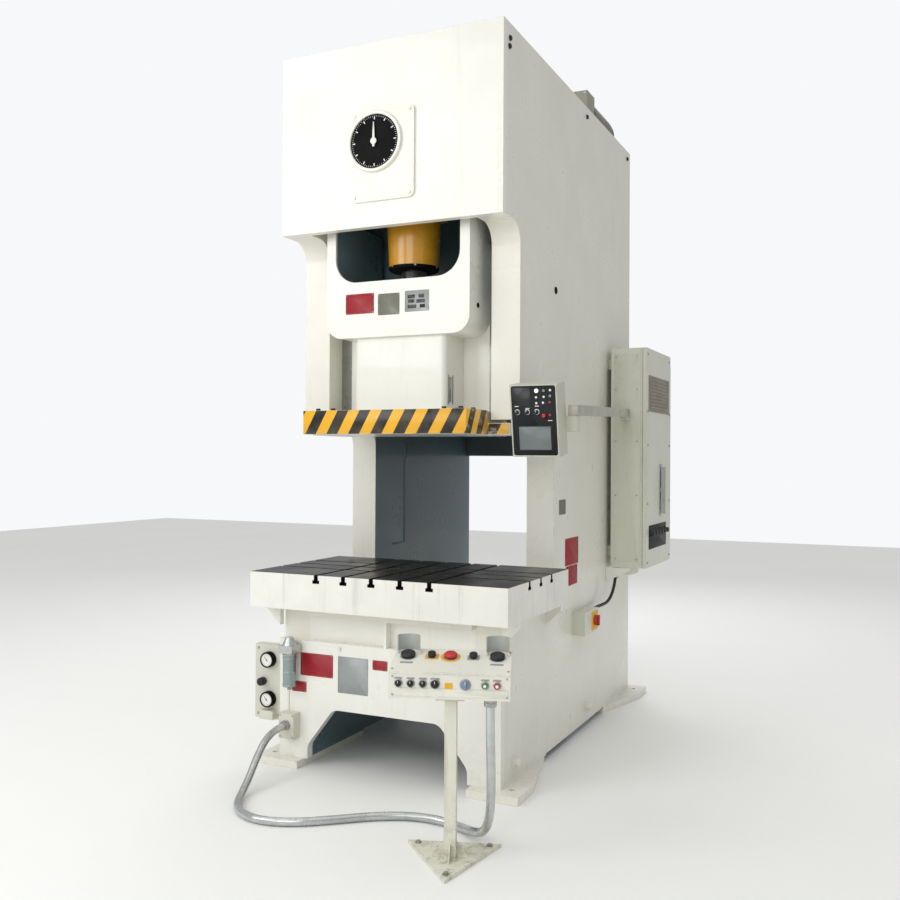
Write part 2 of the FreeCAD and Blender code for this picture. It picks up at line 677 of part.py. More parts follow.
def bed():
    rounds = [("arch_round", [2, 3, 4, 5])]
    skin = plate("bed_front_skin", "XZ", arch_outline(HALF, "front_plate_top"),
                 "-bed_reach", BED_BACK, rounds)
    web = box("bed_web", ("-" + NARROW, NARROW), (BED_BACK, BED_BACK + " + cross_plate"),
              ("front_plate_top - cross_plate", "table_height - table_thick"))
    rib = box("bed_rib", ("-rib_thick / 2", "rib_thick / 2"), ("-bed_reach", BED_BACK),
              ("front_plate_top", "table_height - table_thick"))
    node(join("bed_front_plate", skin, web, rib), "bed_front_plate")

    node(plate("bed_rear_plate", "XZ",
               arch_outline(NARROW, "table_height - table_thick"),
               "doubler_rear - cross_plate", "doubler_rear", rounds), "bed_rear_plate")

    table = box("bed_table", ("-" + NARROW, NARROW), ("-bed_reach", "doubler_rear"),
                ("table_height - table_thick", "table_height"))
    node(table, "bed_table_plate")
    ears = []
    for side, words in (("-1", "left"), ("1", "right")):
        for start, place_word in (("-bed_reach", "front"), ("ear_rear", "rear")):
            edge = f"{side} * {HALF}"
            tip = f"{side} * (bolster_width / 2 - ear_inset)"
            ears.append(plate(f"ear_{place_word}_{words}", "XZ",
                              [(edge, "table_height - ear_tall"), (edge, "table_height"),
                               (tip, "table_height"), (tip, "table_height - ear_lip")],
                              start, f"{start} + ear_thick"))
    node(group("bolster_brackets", *ears), "bolster_brackets")


def t_slot(name, axis, centre, low, high, top):
    """One T-slot tool: a mouth and a head along X or Y."""
    def run(part, wide, z):
        side = (f"{centre} - ({wide}) / 2", f"{centre} + ({wide}) / 2")
        spans = (side, (low, high)) if axis == "Y" else ((low, high), side)
        return box(f"{name}_{part}", *spans, z)
    mouth = run("mouth", "slot_mouth", (f"{top} - slot_deep", top))
    head = run("head", "slot_head", (f"{top} - slot_deep",
                                     f"{top} - slot_deep + slot_head_tall"))
    return [mouth, head]


def bolster():
    top = "table_height + bolster_thick"
    width = ("-bolster_width / 2", "bolster_width / 2")
    depth = ("-bolster_reach", "throat_edge - bolster_gap")
    slab = box("bolster_slab", width, depth, ("table_height", top))
    tools = []
    for step in range(-2, 3):
        tools += t_slot(f"slot_along_{step + 3}", "Y", f"{step} * slot_pitch", *depth, top)
    for step in range(-1, 2):
        tools += t_slot(f"slot_across_{step + 2}", "X", f"{step} * slot_pitch", *width, top)
    node(cut("bolster", slab, *tools), "bolster")


# ------------------------------------------------------------------ slide

def slide():
    flange = box("slide_flange", ("-flange_half", "flange_half"),
                 ("-flange_reach", "-column_reach - wing_gap"), (SLIDE_LOW, FLANGE_TOP))
    wings = box("slide_wings", ("-wing_half", "wing_half"),
                ("-column_reach - wing_gap", "wing_rear"),
                (SLIDE_LOW, SLIDE_LOW + " + wing_tall"))
    block = box("slide_block", ("-yoke_half", "yoke_half"),
                ("-column_reach - wing_gap", "guide_rear"), (SLIDE_LOW, FLANGE_TOP))
    guided = box("slide_guided", ("-yoke_half", "yoke_half"), ("guide_front", "guide_rear"),
                 (SLIDE_LOW, "yoke_floor"))
    waist = plate("slide_waist", "XY",
                  [("-waist_half", "-waist_reach"), ("waist_half", "-waist_reach"),
                   ("waist_half", "guide_front"), ("-waist_half", "guide_front")],
                  SLIDE_LOW, "yoke_bottom + yoke_round", rounds=[("waist_round", [0, 1])])
    yoke = plate("slide_yoke", "XZ",
                 [("-yoke_half", "yoke_bottom"), ("yoke_half", "yoke_bottom"),
                  ("yoke_half", "yoke_top"), ("yoke_inner", "yoke_top"),
                  ("yoke_inner", "yoke_floor"), ("-yoke_inner", "yoke_floor"),
                  ("-yoke_inner", "yoke_top"), ("-yoke_half", "yoke_top")],
                 "-yoke_reach", "guide_rear",
                 rounds=[("yoke_round", [0, 1]), ("yoke_inner_round", [4, 5])])
    body = join("slide_body", flange, wings, block, guided, waist, yoke)
    well = round_bar("slide_well", "Z", ("0", "0"), BALL_Z, "yoke_floor", "ball_well")
    seat = ball("slide_seat", "0", "0", BALL_Z, "ball_radius + ball_play")
    shank = round_bar("slide_shank", "Z", ("0", "0"), SLIDE_LOW,
                      SLIDE_LOW + " + shank_deep", "shank_hole")
    slot = box("bar_slot", ("-waist_half", "waist_half"),
               ("-bar_centre - bar_wide / 2 - bar_gap", "-bar_centre + bar_wide / 2 + bar_gap"),
               ("bar_low - bar_gap", "bar_low + bar_tall + bar_travel + bar_gap"))
    node(cut("slide_casting", body, well, seat, shank, slot), "slide_casting")

    node(box("knockout_bar", ("-bar_half", "bar_half"),
             ("-bar_centre - bar_wide / 2", "-bar_centre + bar_wide / 2"),
             ("bar_low", "bar_low + bar_tall")), "knockout_bar")

    gibs = [box(f"gib_{words}", span, ("guide_front", "guide_rear"),
                ("wall_low", "guide_top"))
            for words, span in (("left", ("-" + NARROW, "-yoke_half - slide_play")),
                                ("right", ("yoke_half + slide_play", NARROW)))]
    node(group("slide_gibs", *gibs), "slide_gibs")


# ------------------------------------------------------------------ crank drive

CRANK_LINE = ("0", "crank_height")
PIN_Z = "(crank_height + crank_throw)"
BALL_Z = "(crank_height + crank_throw - rod_long)"
DIAL_APART = "sqrt((dial_x) ^ 2 + (dial_height - crank_height) ^ 2)"
GEARS_APART = "((gear_teeth + pinion_teeth) * gear_module / 2)"
PINION_X = f"({GEARS_APART} * sqrt(0.5))"
PINION_Z = f"(crank_height - {GEARS_APART} * sqrt(0.5))"


def connecting_rod():
    eye = plate("rod_eye", "XZ",
                [("-eye_half", PIN_Z + " - eye_low"), ("eye_half", PIN_Z + " - eye_low"),
                 ("eye_half", PIN_Z + " + eye_high"), ("-eye_half", PIN_Z + " + eye_high")],
                "-eye_deep", "eye_deep", rounds=[("eye_round", [0, 1, 2, 3])])
    neck = box("rod_neck", ("-rod_radius_top", "rod_radius_top"), ("-eye_deep", "eye_deep"),
               ("rod_high - eye_deep", PIN_Z + " - eye_low"))
    tube = cone("rod_tube", "Z", ("0", "0"), "rod_low", "rod_high", "rod_radius_low",
                "rod_radius_top")
    slot = [round_bar(f"eye_end_{step}", "Y", (f"{step} * eye_shift", PIN_Z), "-eye_deep",
                      "eye_deep", "eye_slot") for step in (-1, 1)]
    slot.append(box("eye_middle", ("-eye_shift", "eye_shift"), ("-eye_deep", "eye_deep"),
                    (PIN_Z + " - eye_slot", PIN_Z + " + eye_slot")))
    node(cut("connecting_rod", join("rod_whole", eye, neck, tube), *slot),
         "connecting_rod")

    screw = round_bar("screw_stem", "Z", ("0", "0"), BALL_Z, "rod_low", "screw_radius")
    knob = ball("screw_ball", "0", "0", BALL_Z, "ball_radius")
    node(join("adjusting_screw", screw, knob), "adjusting_screw")


def crankshaft():
    webs = [round_bar(f"crank_web_{words}", "Y", CRANK_LINE, low, f"{low} + web_thick",
                      "web_radius")
            for words, low in (("front", "-web_front - web_thick"), ("rear", "web_front"))]
    pin = round_bar("crank_pin", "Y", ("0", PIN_Z), "-web_front", "web_front",
                    "pin_radius")
    front = round_bar("front_journal", "Y", CRANK_LINE, HEAD_BACK, "-web_front",
                      "journal_radius")
    rear = round_bar("rear_journal", "Y", CRANK_LINE, "web_front",
                     "rear_web + wall_thick + shaft_end", "journal_radius")
    nose = round_bar("crank_nose", "Y", CRANK_LINE, HEAD_BACK + " - nose_long", HEAD_BACK,
                     "nose_radius")
    teeth = toothed("nose_teeth", CRANK_LINE, HEAD_BACK + " - nose_long", "dial_gear",
                    number("dial_teeth"), number(DIAL_APART), 0.0)
    node(join("crankshaft", *webs, pin, front, rear, nose, teeth), "crankshaft")


def gear_outline(teeth, pitch_radius, phase):
    """Corners of a gear with flat-sided teeth and easy backlash; phase is in pitches."""
    module = 2 * pitch_radius / teeth
    shape = ((-0.30, -1.15), (-0.20, 0.0), (-0.09, 0.80), (0.09, 0.80), (0.20, 0.0),
             (0.30, -1.15))
    corners = []
    for tooth in range(int(teeth)):
        for along, out in shape:
            turn = 2 * math.pi * (tooth + phase + along) / teeth
            radius = pitch_radius + out * module
            corners.append((radius * math.cos(turn), radius * math.sin(turn)))
    return corners


def mesh_phase(teeth, phase, other_teeth, line):
    """Phase of a gear whose gap meets the first one's tooth on the line of centres."""
    here = line * teeth / (2 * math.pi) - phase
    there = (line + math.pi) * other_teeth / (2 * math.pi)
    return here + there - 0.5


def toothed(name, across, low, thick, teeth, twice_pitch, phase, bore="0"):
    """A gear as a plain solid: its teeth follow the sheet's counts and distances."""
    outline = gear_outline(teeth, twice_pitch / 2, phase)
    points = [FreeCAD.Vector(x, 0, z) for x, z in outline]
    solid = Part.Face(Part.makePolygon(points + points[:1])).extrude(
        FreeCAD.Vector(0, number(thick), 0))
    if number(bore):
        hole = Part.makeCylinder(number(bore), number(thick), FreeCAD.Vector(),
                                 FreeCAD.Vector(0, 1, 0))
        solid = solid.cut(hole)
    thing = doc.addObject("Part::Feature", name)
    thing.Shape = solid
    return place(thing, across[0], low, across[1])


def gears():
    apart = number(GEARS_APART)
    share = number("gear_teeth / (gear_teeth + pinion_teeth)")
    teeth = toothed("main_gear_teeth", CRANK_LINE, "gear_front", "gear_thick",
                    number("gear_teeth"), 2 * apart * share, 0.0, "journal_radius" + BORE)
    hub = round_bar("main_gear_hub", "Y", CRANK_LINE, "gear_front - hub_out",
                    "gear_front", "gear_hub")
    hub_bore = round_bar("main_gear_bore", "Y", CRANK_LINE, "gear_front - hub_out",
                         "gear_front", "journal_radius" + BORE)
    node(join("main_gear", teeth, cut("main_gear_boss", hub, hub_bore)), "main_gear")

    phase = mesh_phase(number("gear_teeth"), 0.0, number("pinion_teeth"), -math.pi / 4)
    line = (PINION_X, PINION_Z)
    teeth = toothed("pinion_teeth_ring", line, "gear_front - pinion_over",
                    "gear_thick + 2 * pinion_over", number("pinion_teeth"),
                    2 * apart * (1 - share), phase)
    shaft = round_bar("pinion_bar", "Y", line, "wall_front",
                      "wheel_front + wheel_thick + shaft_end", "pinion_shaft")
    drum = round_bar("clutch_drum", "Y", line, "clutch_front", "clutch_front + clutch_thick",
                     "clutch_radius")
    node(join("pinion_shaft", teeth, shaft, drum), "pinion_shaft")


def flywheel():
    line = (PINION_X, PINION_Z)
    bore = "pinion_shaft" + BORE
    rim_in = "wheel_radius - wheel_rim"
    web_low = "(wheel_thick - wheel_web) / 2"
    web_high = "(wheel_thick + wheel_web) / 2"
    profile = [(bore, "0"), ("wheel_hub", "0"), ("wheel_hub", web_low), (rim_in, web_low),
               (rim_in, "0"), ("wheel_radius", "0"), ("wheel_radius", "wheel_thick"),
               (rim_in, "wheel_thick"), (rim_in, web_high), ("wheel_hub", web_high),
               ("wheel_hub", "wheel_thick"), (bore, "wheel_thick")]
    node(turned("flywheel", "Y", line, profile, "wheel_front"), "flywheel")

    pulley = ("motor_x", "motor_height")
    profile = [("motor_shaft" + BORE, "0"), ("pulley_radius", "0"),
               ("pulley_radius", "belt_wide"), ("motor_shaft" + BORE, "belt_wide")]
    node(turned("motor_pulley", "Y", pulley, profile,
                "wheel_front + wheel_thick / 2 - belt_wide / 2"), "motor_pulley")


def belt_loop(small, large, apart, angle):
    """The closed line of a belt round a large wheel at the origin and a small one."""
    lean = math.acos((large - small) / apart)
    far = FreeCAD.Vector(apart * math.cos(angle), 0, apart * math.sin(angle))

    def on(centre, radius, turn):
        return centre + FreeCAD.Vector(radius * math.cos(turn), 0, radius * math.sin(turn))

    start = FreeCAD.Vector()
    a, b = on(start, large, angle + lean), on(start, large, angle - lean)
    c, d = on(far, small, angle - lean), on(far, small, angle + lean)
    edges = [Part.Arc(a, on(start, large, angle + math.pi), b).toShape(),
             Part.makeLine(b, c), Part.Arc(c, on(far, small, angle), d).toShape(),
             Part.makeLine(d, a)]
    return Part.Wire(edges)


def drive_belt():
    across = number(f"motor_x - {PINION_X}")
    up = number(f"motor_height - {PINION_Z}")
    apart, angle = math.hypot(across, up), math.atan2(up, across)
    gap, thick = number("belt_gap"), number("belt_thick")
    small, large = number("pulley_radius") + gap, number("wheel_radius") + gap
    outer = Part.Face(belt_loop(small + thick, large + thick, apart, angle))
    inner = Part.Face(belt_loop(small, large, apart, angle))
    along = FreeCAD.Vector(0, number("belt_wide"), 0)
    belt = doc.addObject("Part::Feature", "drive_belt")
    belt.Shape = outer.extrude(along).cut(inner.extrude(along))
    place(belt, PINION_X, "wheel_front + wheel_thick / 2 - belt_wide / 2", PINION_Z)
    node(belt, "drive_belt")


def motor():
    line = ("motor_x", "motor_height")
    barrel = round_bar("motor_barrel", "Y", line, "motor_front", "motor_front + motor_long",
                       "motor_radius")
    cowl = round_bar("motor_cowl", "Y", line, "motor_front + motor_long",
                     "motor_front + motor_long + cowl_long", "motor_radius - cowl_step")
    shaft = round_bar("motor_stub", "Y", line,
                      "wheel_front + wheel_thick / 2 - belt_wide / 2", "motor_front",
                      "motor_shaft")
    feet = box("motor_feet", ("motor_x - motor_radius", "motor_x + motor_radius"),
               ("motor_front + motor_foot", "motor_front + motor_long - motor_foot"),
               ("total_height", "motor_height - motor_radius + motor_foot_sink"))
    terminal = box("motor_terminals",
                   ("motor_x - motor_radius - terminal_out", "motor_x - motor_radius / 2"),
                   ("motor_front + motor_foot * 2", "motor_front + motor_foot * 2 + terminal_long"),
                   ("motor_height - terminal_long / 2", "motor_height + terminal_long / 2"))
    node(join("motor", barrel, cowl, shaft, feet, terminal), "motor")

    guard_x = ("guard_left", "guard_left + guard_wide")
    guard_y = ("wheel_front - guard_wall", "wheel_front + wheel_thick + guard_wall")
    shell = box("guard_shell", guard_x, guard_y, ("total_height", "total_height + guard_tall"))
    hollow = box("guard_hollow", ("guard_left + guard_wall", "guard_left + guard_wide - guard_wall"),
                 ("wheel_front", "wheel_front + wheel_thick"),
                 ("total_height", "total_height + guard_tall - guard_wall"))
    shaft_hole = round_bar("guard_hole", "Y", line, "wheel_front + wheel_thick",
                           "wheel_front + wheel_thick + guard_wall", "motor_shaft + guard_wall")
    node(cut("belt_guard", shell, hollow, shaft_hole), "belt_guard")


# ------------------------------------------------------------------ angle dial

PLATE_FRONT = "-head_reach - dial_plate_thick"


def dial():
    line = ("dial_x", "dial_height")
    cover = plate("dial_cover", "XZ",
                  [("dial_plate_left", "dial_plate_low"), ("dial_plate_right", "dial_plate_low"),
                   ("dial_plate_right", "dial_plate_high"),
                   ("dial_plate_left", "dial_plate_high")],
                  PLATE_FRONT, "-head_reach", rounds=[("dial_plate_round", [0, 1, 2, 3])])
    face = round_bar("dial_black", "Y", line, PLATE_FRONT + " - dial_face", PLATE_FRONT,
                     "dial_radius")
    ring = round_bar("dial_ring", "Y", line, PLATE_FRONT + " - bezel_tall", PLATE_FRONT,
                     "bezel_radius")
    ring_hole = round_bar("dial_ring_hole", "Y", line, PLATE_FRONT + " - bezel_tall",
                          PLATE_FRONT, "dial_radius")
    hole = round_bar("dial_hole", "Y", line, PLATE_FRONT + " - dial_face", "-head_reach",
                     "pointer_shaft" + BORE)
    whole = join("dial_whole", cover, face, cut("dial_bezel", ring, ring_hole))
    node(cut("dial_cover_plate", whole, hole), "dial_cover_plate")

    hand_low = PLATE_FRONT + " - dial_face - hand_gap - hand_thick"
    gear_low = HEAD_BACK + " - nose_long"
    up = math.atan2(number("dial_height - crank_height"), number("dial_x"))
    phase = mesh_phase(number("dial_teeth"), 0.0, number("dial_teeth"), up)
    teeth = toothed("pointer_teeth", line, gear_low, "dial_gear", number("dial_teeth"),
                    number(DIAL_APART), phase)
    shaft = round_bar("pointer_bar", "Y", line, hand_low, gear_low, "pointer_shaft")
    hub = round_bar("pointer_hub", "Y", line, hand_low, hand_low + " + hand_thick",
                    "hand_hub")
    hand = box("pointer_hand", ("dial_x - hand_half", "dial_x + hand_half"),
               (hand_low, hand_low + " + hand_thick"),
               ("dial_height - hand_tail", "dial_height + hand_long"))
    node(join("dial_pointer", teeth, shaft, hub, hand), "dial_pointer")


# ------------------------------------------------------------------ two-hand console

SLOPE = "atan((console_high - console_lip) / (console_front + console_rear))"


def at_console(thing):
    """Everything on the console is made round the post and turned with it."""
    return place(thing, "console_x", "console_y", "0", (0, 0, 1), "console_turn * 1 deg")


def lid_height(y):
    """Height of the sloped lid at a depth behind the post axis."""
    rise = "(console_high - console_lip) / (console_front + console_rear)"
    return f"(console_lip + ({y} + console_front) * {rise})"


def console():
    outline = [("-console_front", "console_low"), ("console_rear", "console_low"),
               ("console_rear", "console_high"), ("-console_front", "console_lip")]
    shell = plate("console_shell", "YZ", outline, "-console_half", "console_half")
    wall = "console_wall"
    low = f"console_low + {wall}"
    inner = [(f"-console_front + {wall}", low), (f"console_rear - {wall}", low),
             (f"console_rear - {wall}", f"console_high - 2 * {wall}"),
             (f"-console_front + {wall}", f"console_lip - 2 * {wall}")]
    hollow = plate("console_hollow", "YZ", inner, f"-console_half + {wall}",
                   f"console_half - {wall}")
    tools = [hollow]
    for name, x, radius in LID_CAPS:
        tools.append(lid_bar(f"{name}_hole", x, radius + " + button_play",
                             "-2.5 * console_wall", "console_wall"))
    for name, x, radius in FRONT_CAPS:
        tools.append(front_bar(f"{name}_hole", x, f"{radius} / 2 + button_play",
                               "-console_wall - collar_height", "console_wall"))
    box_cut = cut("console_box", shell, *tools)
    node(at_console(join("console_housing", box_cut, *palm_guards())), "console_housing")

    for name, x, radius in LID_CAPS:
        stem = lid_bar(f"{name}_stem", x, radius, "-cap_sunk", "collar_height")
        crown = lid_bar(f"{name}_crown", x, radius + " + cap_brim", "collar_height",
                        "collar_height + cap_height")
        node(at_console(join(f"{name}_cap", stem, crown)), name)
    for name, x, radius in FRONT_CAPS:
        stem = front_bar(f"{name}_stem", x, f"{radius} / 2", "-cap_sunk", "cap_gap")
        cap = front_bar(f"{name}_head", x, radius, "cap_gap", "cap_gap + cap_height")
        node(at_console(join(f"{name}_cap", stem, cap)), name)

    tube = box("post_tube", ("-post_side / 2", "post_side / 2"),
               ("-post_side / 2", "post_side / 2"), ("base_thick", "console_low"))
    base = plate("post_base", "XY", [("0", "-base_tip"), ("base_half", "base_rear"),
                                     ("-base_half", "base_rear")], "0", "base_thick")
    node(at_console(join("console_stand", tube, base)), "console_stand")


LID_CAPS = [("palm_button_left", "-palm_place", "palm_radius"),
            ("palm_button_right", "palm_place", "palm_radius"),
            ("stop_button", "stop_place", "stop_radius"),
            ("inch_button_left", "-push_place", "push_radius"),
            ("inch_button_right", "push_place", "push_radius")]
FRONT_CAPS = [(f"console_knob_{step + 1}", f"knob_first + {step} * knob_pitch", "knob_radius")
              for step in range(3)]
FRONT_CAPS += [("console_knob_4", "knob_first + 3 * knob_pitch", "large_knob_radius"),
               ("mode_selector", "mode_place", "mode_radius"),
               ("run_button", "run_place", "push_radius"),
               ("halt_button", "run_place + run_pitch", "push_radius")]


def lid_bar(name, x, radius, low, high):
    """A round bar square to the sloped lid, from low to high above it."""
    thing = doc.addObject("Part::Cylinder", name)
    tie(thing, "Radius", radius)
    tie(thing, "Height", f"({high}) - ({low})")
    run, rise = f"(({low}) * sin({SLOPE}))", f"(({low}) * cos({SLOPE}))"
    return place(thing, x, f"lid_line - {run}", f"{lid_height('lid_line')} + {rise}",
                 (1, 0, 0), SLOPE)


def front_bar(name, x, radius, low, high):
    """A round bar square to the console's front, from low to high ahead of it."""
    thing = doc.addObject("Part::Cylinder", name)
    tie(thing, "Radius", radius)
    tie(thing, "Height", f"({high}) - ({low})")
    return place(thing, x, f"-console_front - ({low})", "front_line", (1, 0, 0), "90 deg")


def palm_guards():
    guards = []
    for words, x in (("left", "-palm_place"), ("right", "palm_place")):
        low = lid_height("lid_line") + " - guard_sink"
        high = lid_height("lid_line") + " + palm_guard_tall"
        outer = round_bar(f"guard_outer_{words}", "Z", (x, "lid_line"), low, high,
                          "guard_radius")
        inner = round_bar(f"guard_inner_{words}", "Z", (x, "lid_line"), low, high,
                          "guard_radius - console_wall")
        front = box(f"guard_front_{words}", (f"{x} - guard_radius", f"{x} + guard_radius"),
                    ("lid_line - guard_radius", "lid_line + guard_back"), (low, high))
        guards.append(cut(f"palm_guard_{words}", outer, inner, front))
    return guards


# ------------------------------------------------------------------ cabinet and pendant

CAB_LEFT = f"({HALF} + cabinet_stand)"
CAB_RIGHT = f"({HALF} + cabinet_deep)"
DOOR_IN = f"({CAB_RIGHT} - door_thick)"


def cabinet():
    spans = ((CAB_LEFT, f"{DOOR_IN} - door_gap"), ("cabinet_front", "cabinet_rear"),
             ("cabinet_low", "cabinet_high"))
    shell = box("cabinet_shell", *spans)
    hollow = box("cabinet_hollow", (f"{CAB_LEFT} + cabinet_wall", CAB_RIGHT),
                 ("cabinet_front + cabinet_wall", "cabinet_rear - cabinet_wall"),
                 ("cabinet_low + cabinet_wall", "cabinet_high - cabinet_wall"))
    rails = [box(f"cabinet_rail_{words}", (HALF, CAB_LEFT),
                 ("cabinet_front + rail_inset", "frame_rear - rail_inset"), (low, f"{low} + rail_tall"))
             for words, low in (("low", "cabinet_low + rail_inset"),
                                ("high", "cabinet_high - rail_inset - rail_tall"))]
    hinge = round_bar("cabinet_hinge", "Z", (HINGE_X, HINGE_Y), "cabinet_low + rail_inset",
                      "cabinet_high - rail_inset", "hinge_pin")
    hinge_ears = [box(f"hinge_ear_{words}", (f"{DOOR_IN} - 2 * door_gap - door_thick",
                                             f"{HINGE_X} + hinge_pin"),
                      (f"{HINGE_Y} - hinge_pin", f"{HINGE_Y} + hinge_pin"),
                      (low, f"{low} + hinge_ear"))
                  for words, low in (("low", "cabinet_low + rail_inset - hinge_ear"),
                                     ("high", "cabinet_high - rail_inset"))]
    step = [box(f"hinge_step_{words}", (f"{DOOR_IN} - 2 * door_gap - door_thick",
                                        f"{DOOR_IN} - door_gap"),
                ("cabinet_rear - cabinet_wall", f"{HINGE_Y} + hinge_pin"),
                (low, f"{low} + hinge_ear"))
            for words, low in (("low", "cabinet_low + rail_inset - hinge_ear"),
                               ("high", "cabinet_high - rail_inset"))]
    arm_ears = [box(f"arm_ear_{words}", ("arm_x - arm_side / 2", "arm_x + arm_side / 2"),
                    ("arm_y - arm_side / 2", "cabinet_front"), (low, f"{low} + arm_ear"))
                for words, low in (("low", "arm_height - arm_side / 2 - arm_gap - arm_ear"),
                                   ("high", "arm_height + arm_side / 2 + arm_gap"))]
    pin = round_bar("arm_pivot", "Z", ("arm_x", "arm_y"),
                    "arm_height - arm_side / 2 - arm_gap", "arm_height + arm_side / 2 + arm_gap",
                    "arm_pin")
    tray = box("cabinet_tray", ("arm_x - tray_less", "arm_x + tray_more"),
               ("cabinet_front + cabinet_wall", "cabinet_front + tray_long"),
               ("cabinet_low - tray_tall", "cabinet_low"))
    node(join("control_cabinet", cut("cabinet_case", shell, hollow), *rails, hinge,
              *hinge_ears, *step, *arm_ears, pin, tray), "control_cabinet")

    leaf = box("door_leaf", (DOOR_IN, CAB_RIGHT), ("cabinet_front", "cabinet_rear"),
               ("cabinet_low", "cabinet_high"))
    low = "cabinet_low + rail_inset + door_gap"
    high = "cabinet_high - rail_inset - door_gap"
    knuckle = round_bar("door_knuckle", "Z", (HINGE_X, HINGE_Y), low, high, "hinge_barrel")
    knuckle_bore = round_bar("door_knuckle_bore", "Z", (HINGE_X, HINGE_Y), low, high,
                             "hinge_pin" + BORE)
    knuckle_leaf = box("door_knuckle_leaf", (DOOR_IN, CAB_RIGHT),
                       ("cabinet_rear", f"{HINGE_Y} - hinge_pin - door_gap / 2"), (low, high))
    stem_hole = round_bar("door_stem_hole", "X", ("handle_place", "handle_mid"), DOOR_IN,
                          CAB_RIGHT, "handle_stem" + BORE)
    door = cut("door_whole", join("door_parts", leaf, knuckle_leaf,
                                  cut("door_barrel", knuckle, knuckle_bore)), stem_hole)
    node(door, "cabinet_door")

    stem = round_bar("handle_stem_bar", "X", ("handle_place", "handle_mid"),
                     f"{DOOR_IN} - handle_catch", f"{CAB_RIGHT} + handle_out", "handle_stem")
    grip = box("handle_grip", (f"{CAB_RIGHT} + handle_gap", f"{CAB_RIGHT} + handle_out"),
               ("handle_place - handle_wide / 2", "handle_place + handle_wide / 2"),
               ("handle_mid - handle_long / 2", "handle_mid + handle_long / 2"))
    node(join("cabinet_handle", stem, grip), "cabinet_handle")


HINGE_X = f"({DOOR_IN} + door_thick / 2)"
HINGE_Y = "(cabinet_rear + hinge_out)"


def pendant_arm():
    """Made along -Y from the pivot, falling a little, then turned out."""
    side = "arm_side / 2"
    beam = plate("arm_beam", "YZ",
                 [("arm_side / 2", f"-{side}"), ("arm_side / 2", side), ("-arm_side", side),
                  ("-arm_long", f"-arm_drop + {side}"), ("-arm_long", f"-arm_drop - {side}"),
                  ("-arm_side", f"-{side}")],
                 f"-{side}", side)
    bore = round_bar("arm_bore", "Z", ("0", "0"), f"-{side}", side, "arm_pin" + BORE)
    stub = round_bar("arm_stub", "Z", ("0", "-arm_long + arm_side / 2"),
                     f"-arm_drop - {side} - arm_stub_long", "-arm_drop", "arm_pin")
    arm = join("pendant_arm", cut("arm_bored", beam, bore), stub)
    place(arm, "arm_x", "arm_y", "arm_height", (0, 0, 1), "arm_turn * 1 deg")
    node(arm, "pendant_arm")


ARM_TIP = "(arm_long - arm_side / 2)"
TIP_X = f"(arm_x + {ARM_TIP} * sin(arm_turn * 1 deg))"
TIP_Y = f"(arm_y - {ARM_TIP} * cos(arm_turn * 1 deg))"
TIP_Z = "(arm_height - arm_drop - arm_side / 2)"


def at_pendant(thing):
    """The pendant is made round its face's centre and then tilted to look down."""
    return place(thing, "pendant_x", "pendant_y", "pendant_height", (1, 0, 0),
                 "pendant_tilt * 1 deg")


PENDANT_CAPS = [("pendant_selector_left", "-80", "40"), ("pendant_selector_mid", "-32", "40"),
                ("pendant_selector_right", "14", "40"), ("pendant_stop", "50", "24")]


def pendant():
    wall = "console_wall"
    shell = box("pendant_shell", ("-pendant_half", "pendant_half"), ("0", "pendant_deep"),
                ("-pendant_half_tall", "pendant_half_tall"))
    hollow = box("pendant_hollow", (f"-pendant_half + {wall}", f"pendant_half - {wall}"),
                 (wall, f"pendant_deep - {wall}"),
                 (f"-pendant_half_tall + {wall}", f"pendant_half_tall - {wall}"))
    holes = [round_bar(f"{name}_hole", "Y", (x, z), "0", wall, "selector_radius / 2 + button_play")
             for name, x, z in PENDANT_CAPS]
    case = at_pendant(cut("pendant_case", shell, hollow, *holes))
    sleeve = round_bar("pendant_sleeve", "Z", (TIP_X, TIP_Y), f"{TIP_Z} - arm_stub_long",
                       f"{TIP_Z} - arm_gap", "arm_side / 2")
    lug = box("pendant_lug", ("pendant_x + pendant_half - console_wall", TIP_X),
              (f"{TIP_Y} - arm_side / 2", TIP_Y),
              (f"{TIP_Z} - arm_stub_long", f"{TIP_Z} - arm_gap"))
    bore = round_bar("pendant_bore", "Z", (TIP_X, TIP_Y), f"{TIP_Z} - arm_stub_long",
                     f"{TIP_Z} - arm_gap", "arm_pin" + BORE)
    node(join("pendant_housing", case, cut("pendant_bored", join("pendant_hanger", sleeve, lug),
                                           bore)), "pendant_housing")
    for name, x, z in PENDANT_CAPS:
        stem = round_bar(f"{name}_stem", "Y", (x, z), "-cap_gap", "cap_sunk",
                         "selector_radius / 2")
        cap = round_bar(f"{name}_head", "Y", (x, z), "-cap_gap - cap_height", "-cap_gap",
                        "selector_radius")
        node(at_pendant(join(f"{name}_cap", stem, cap)), name)


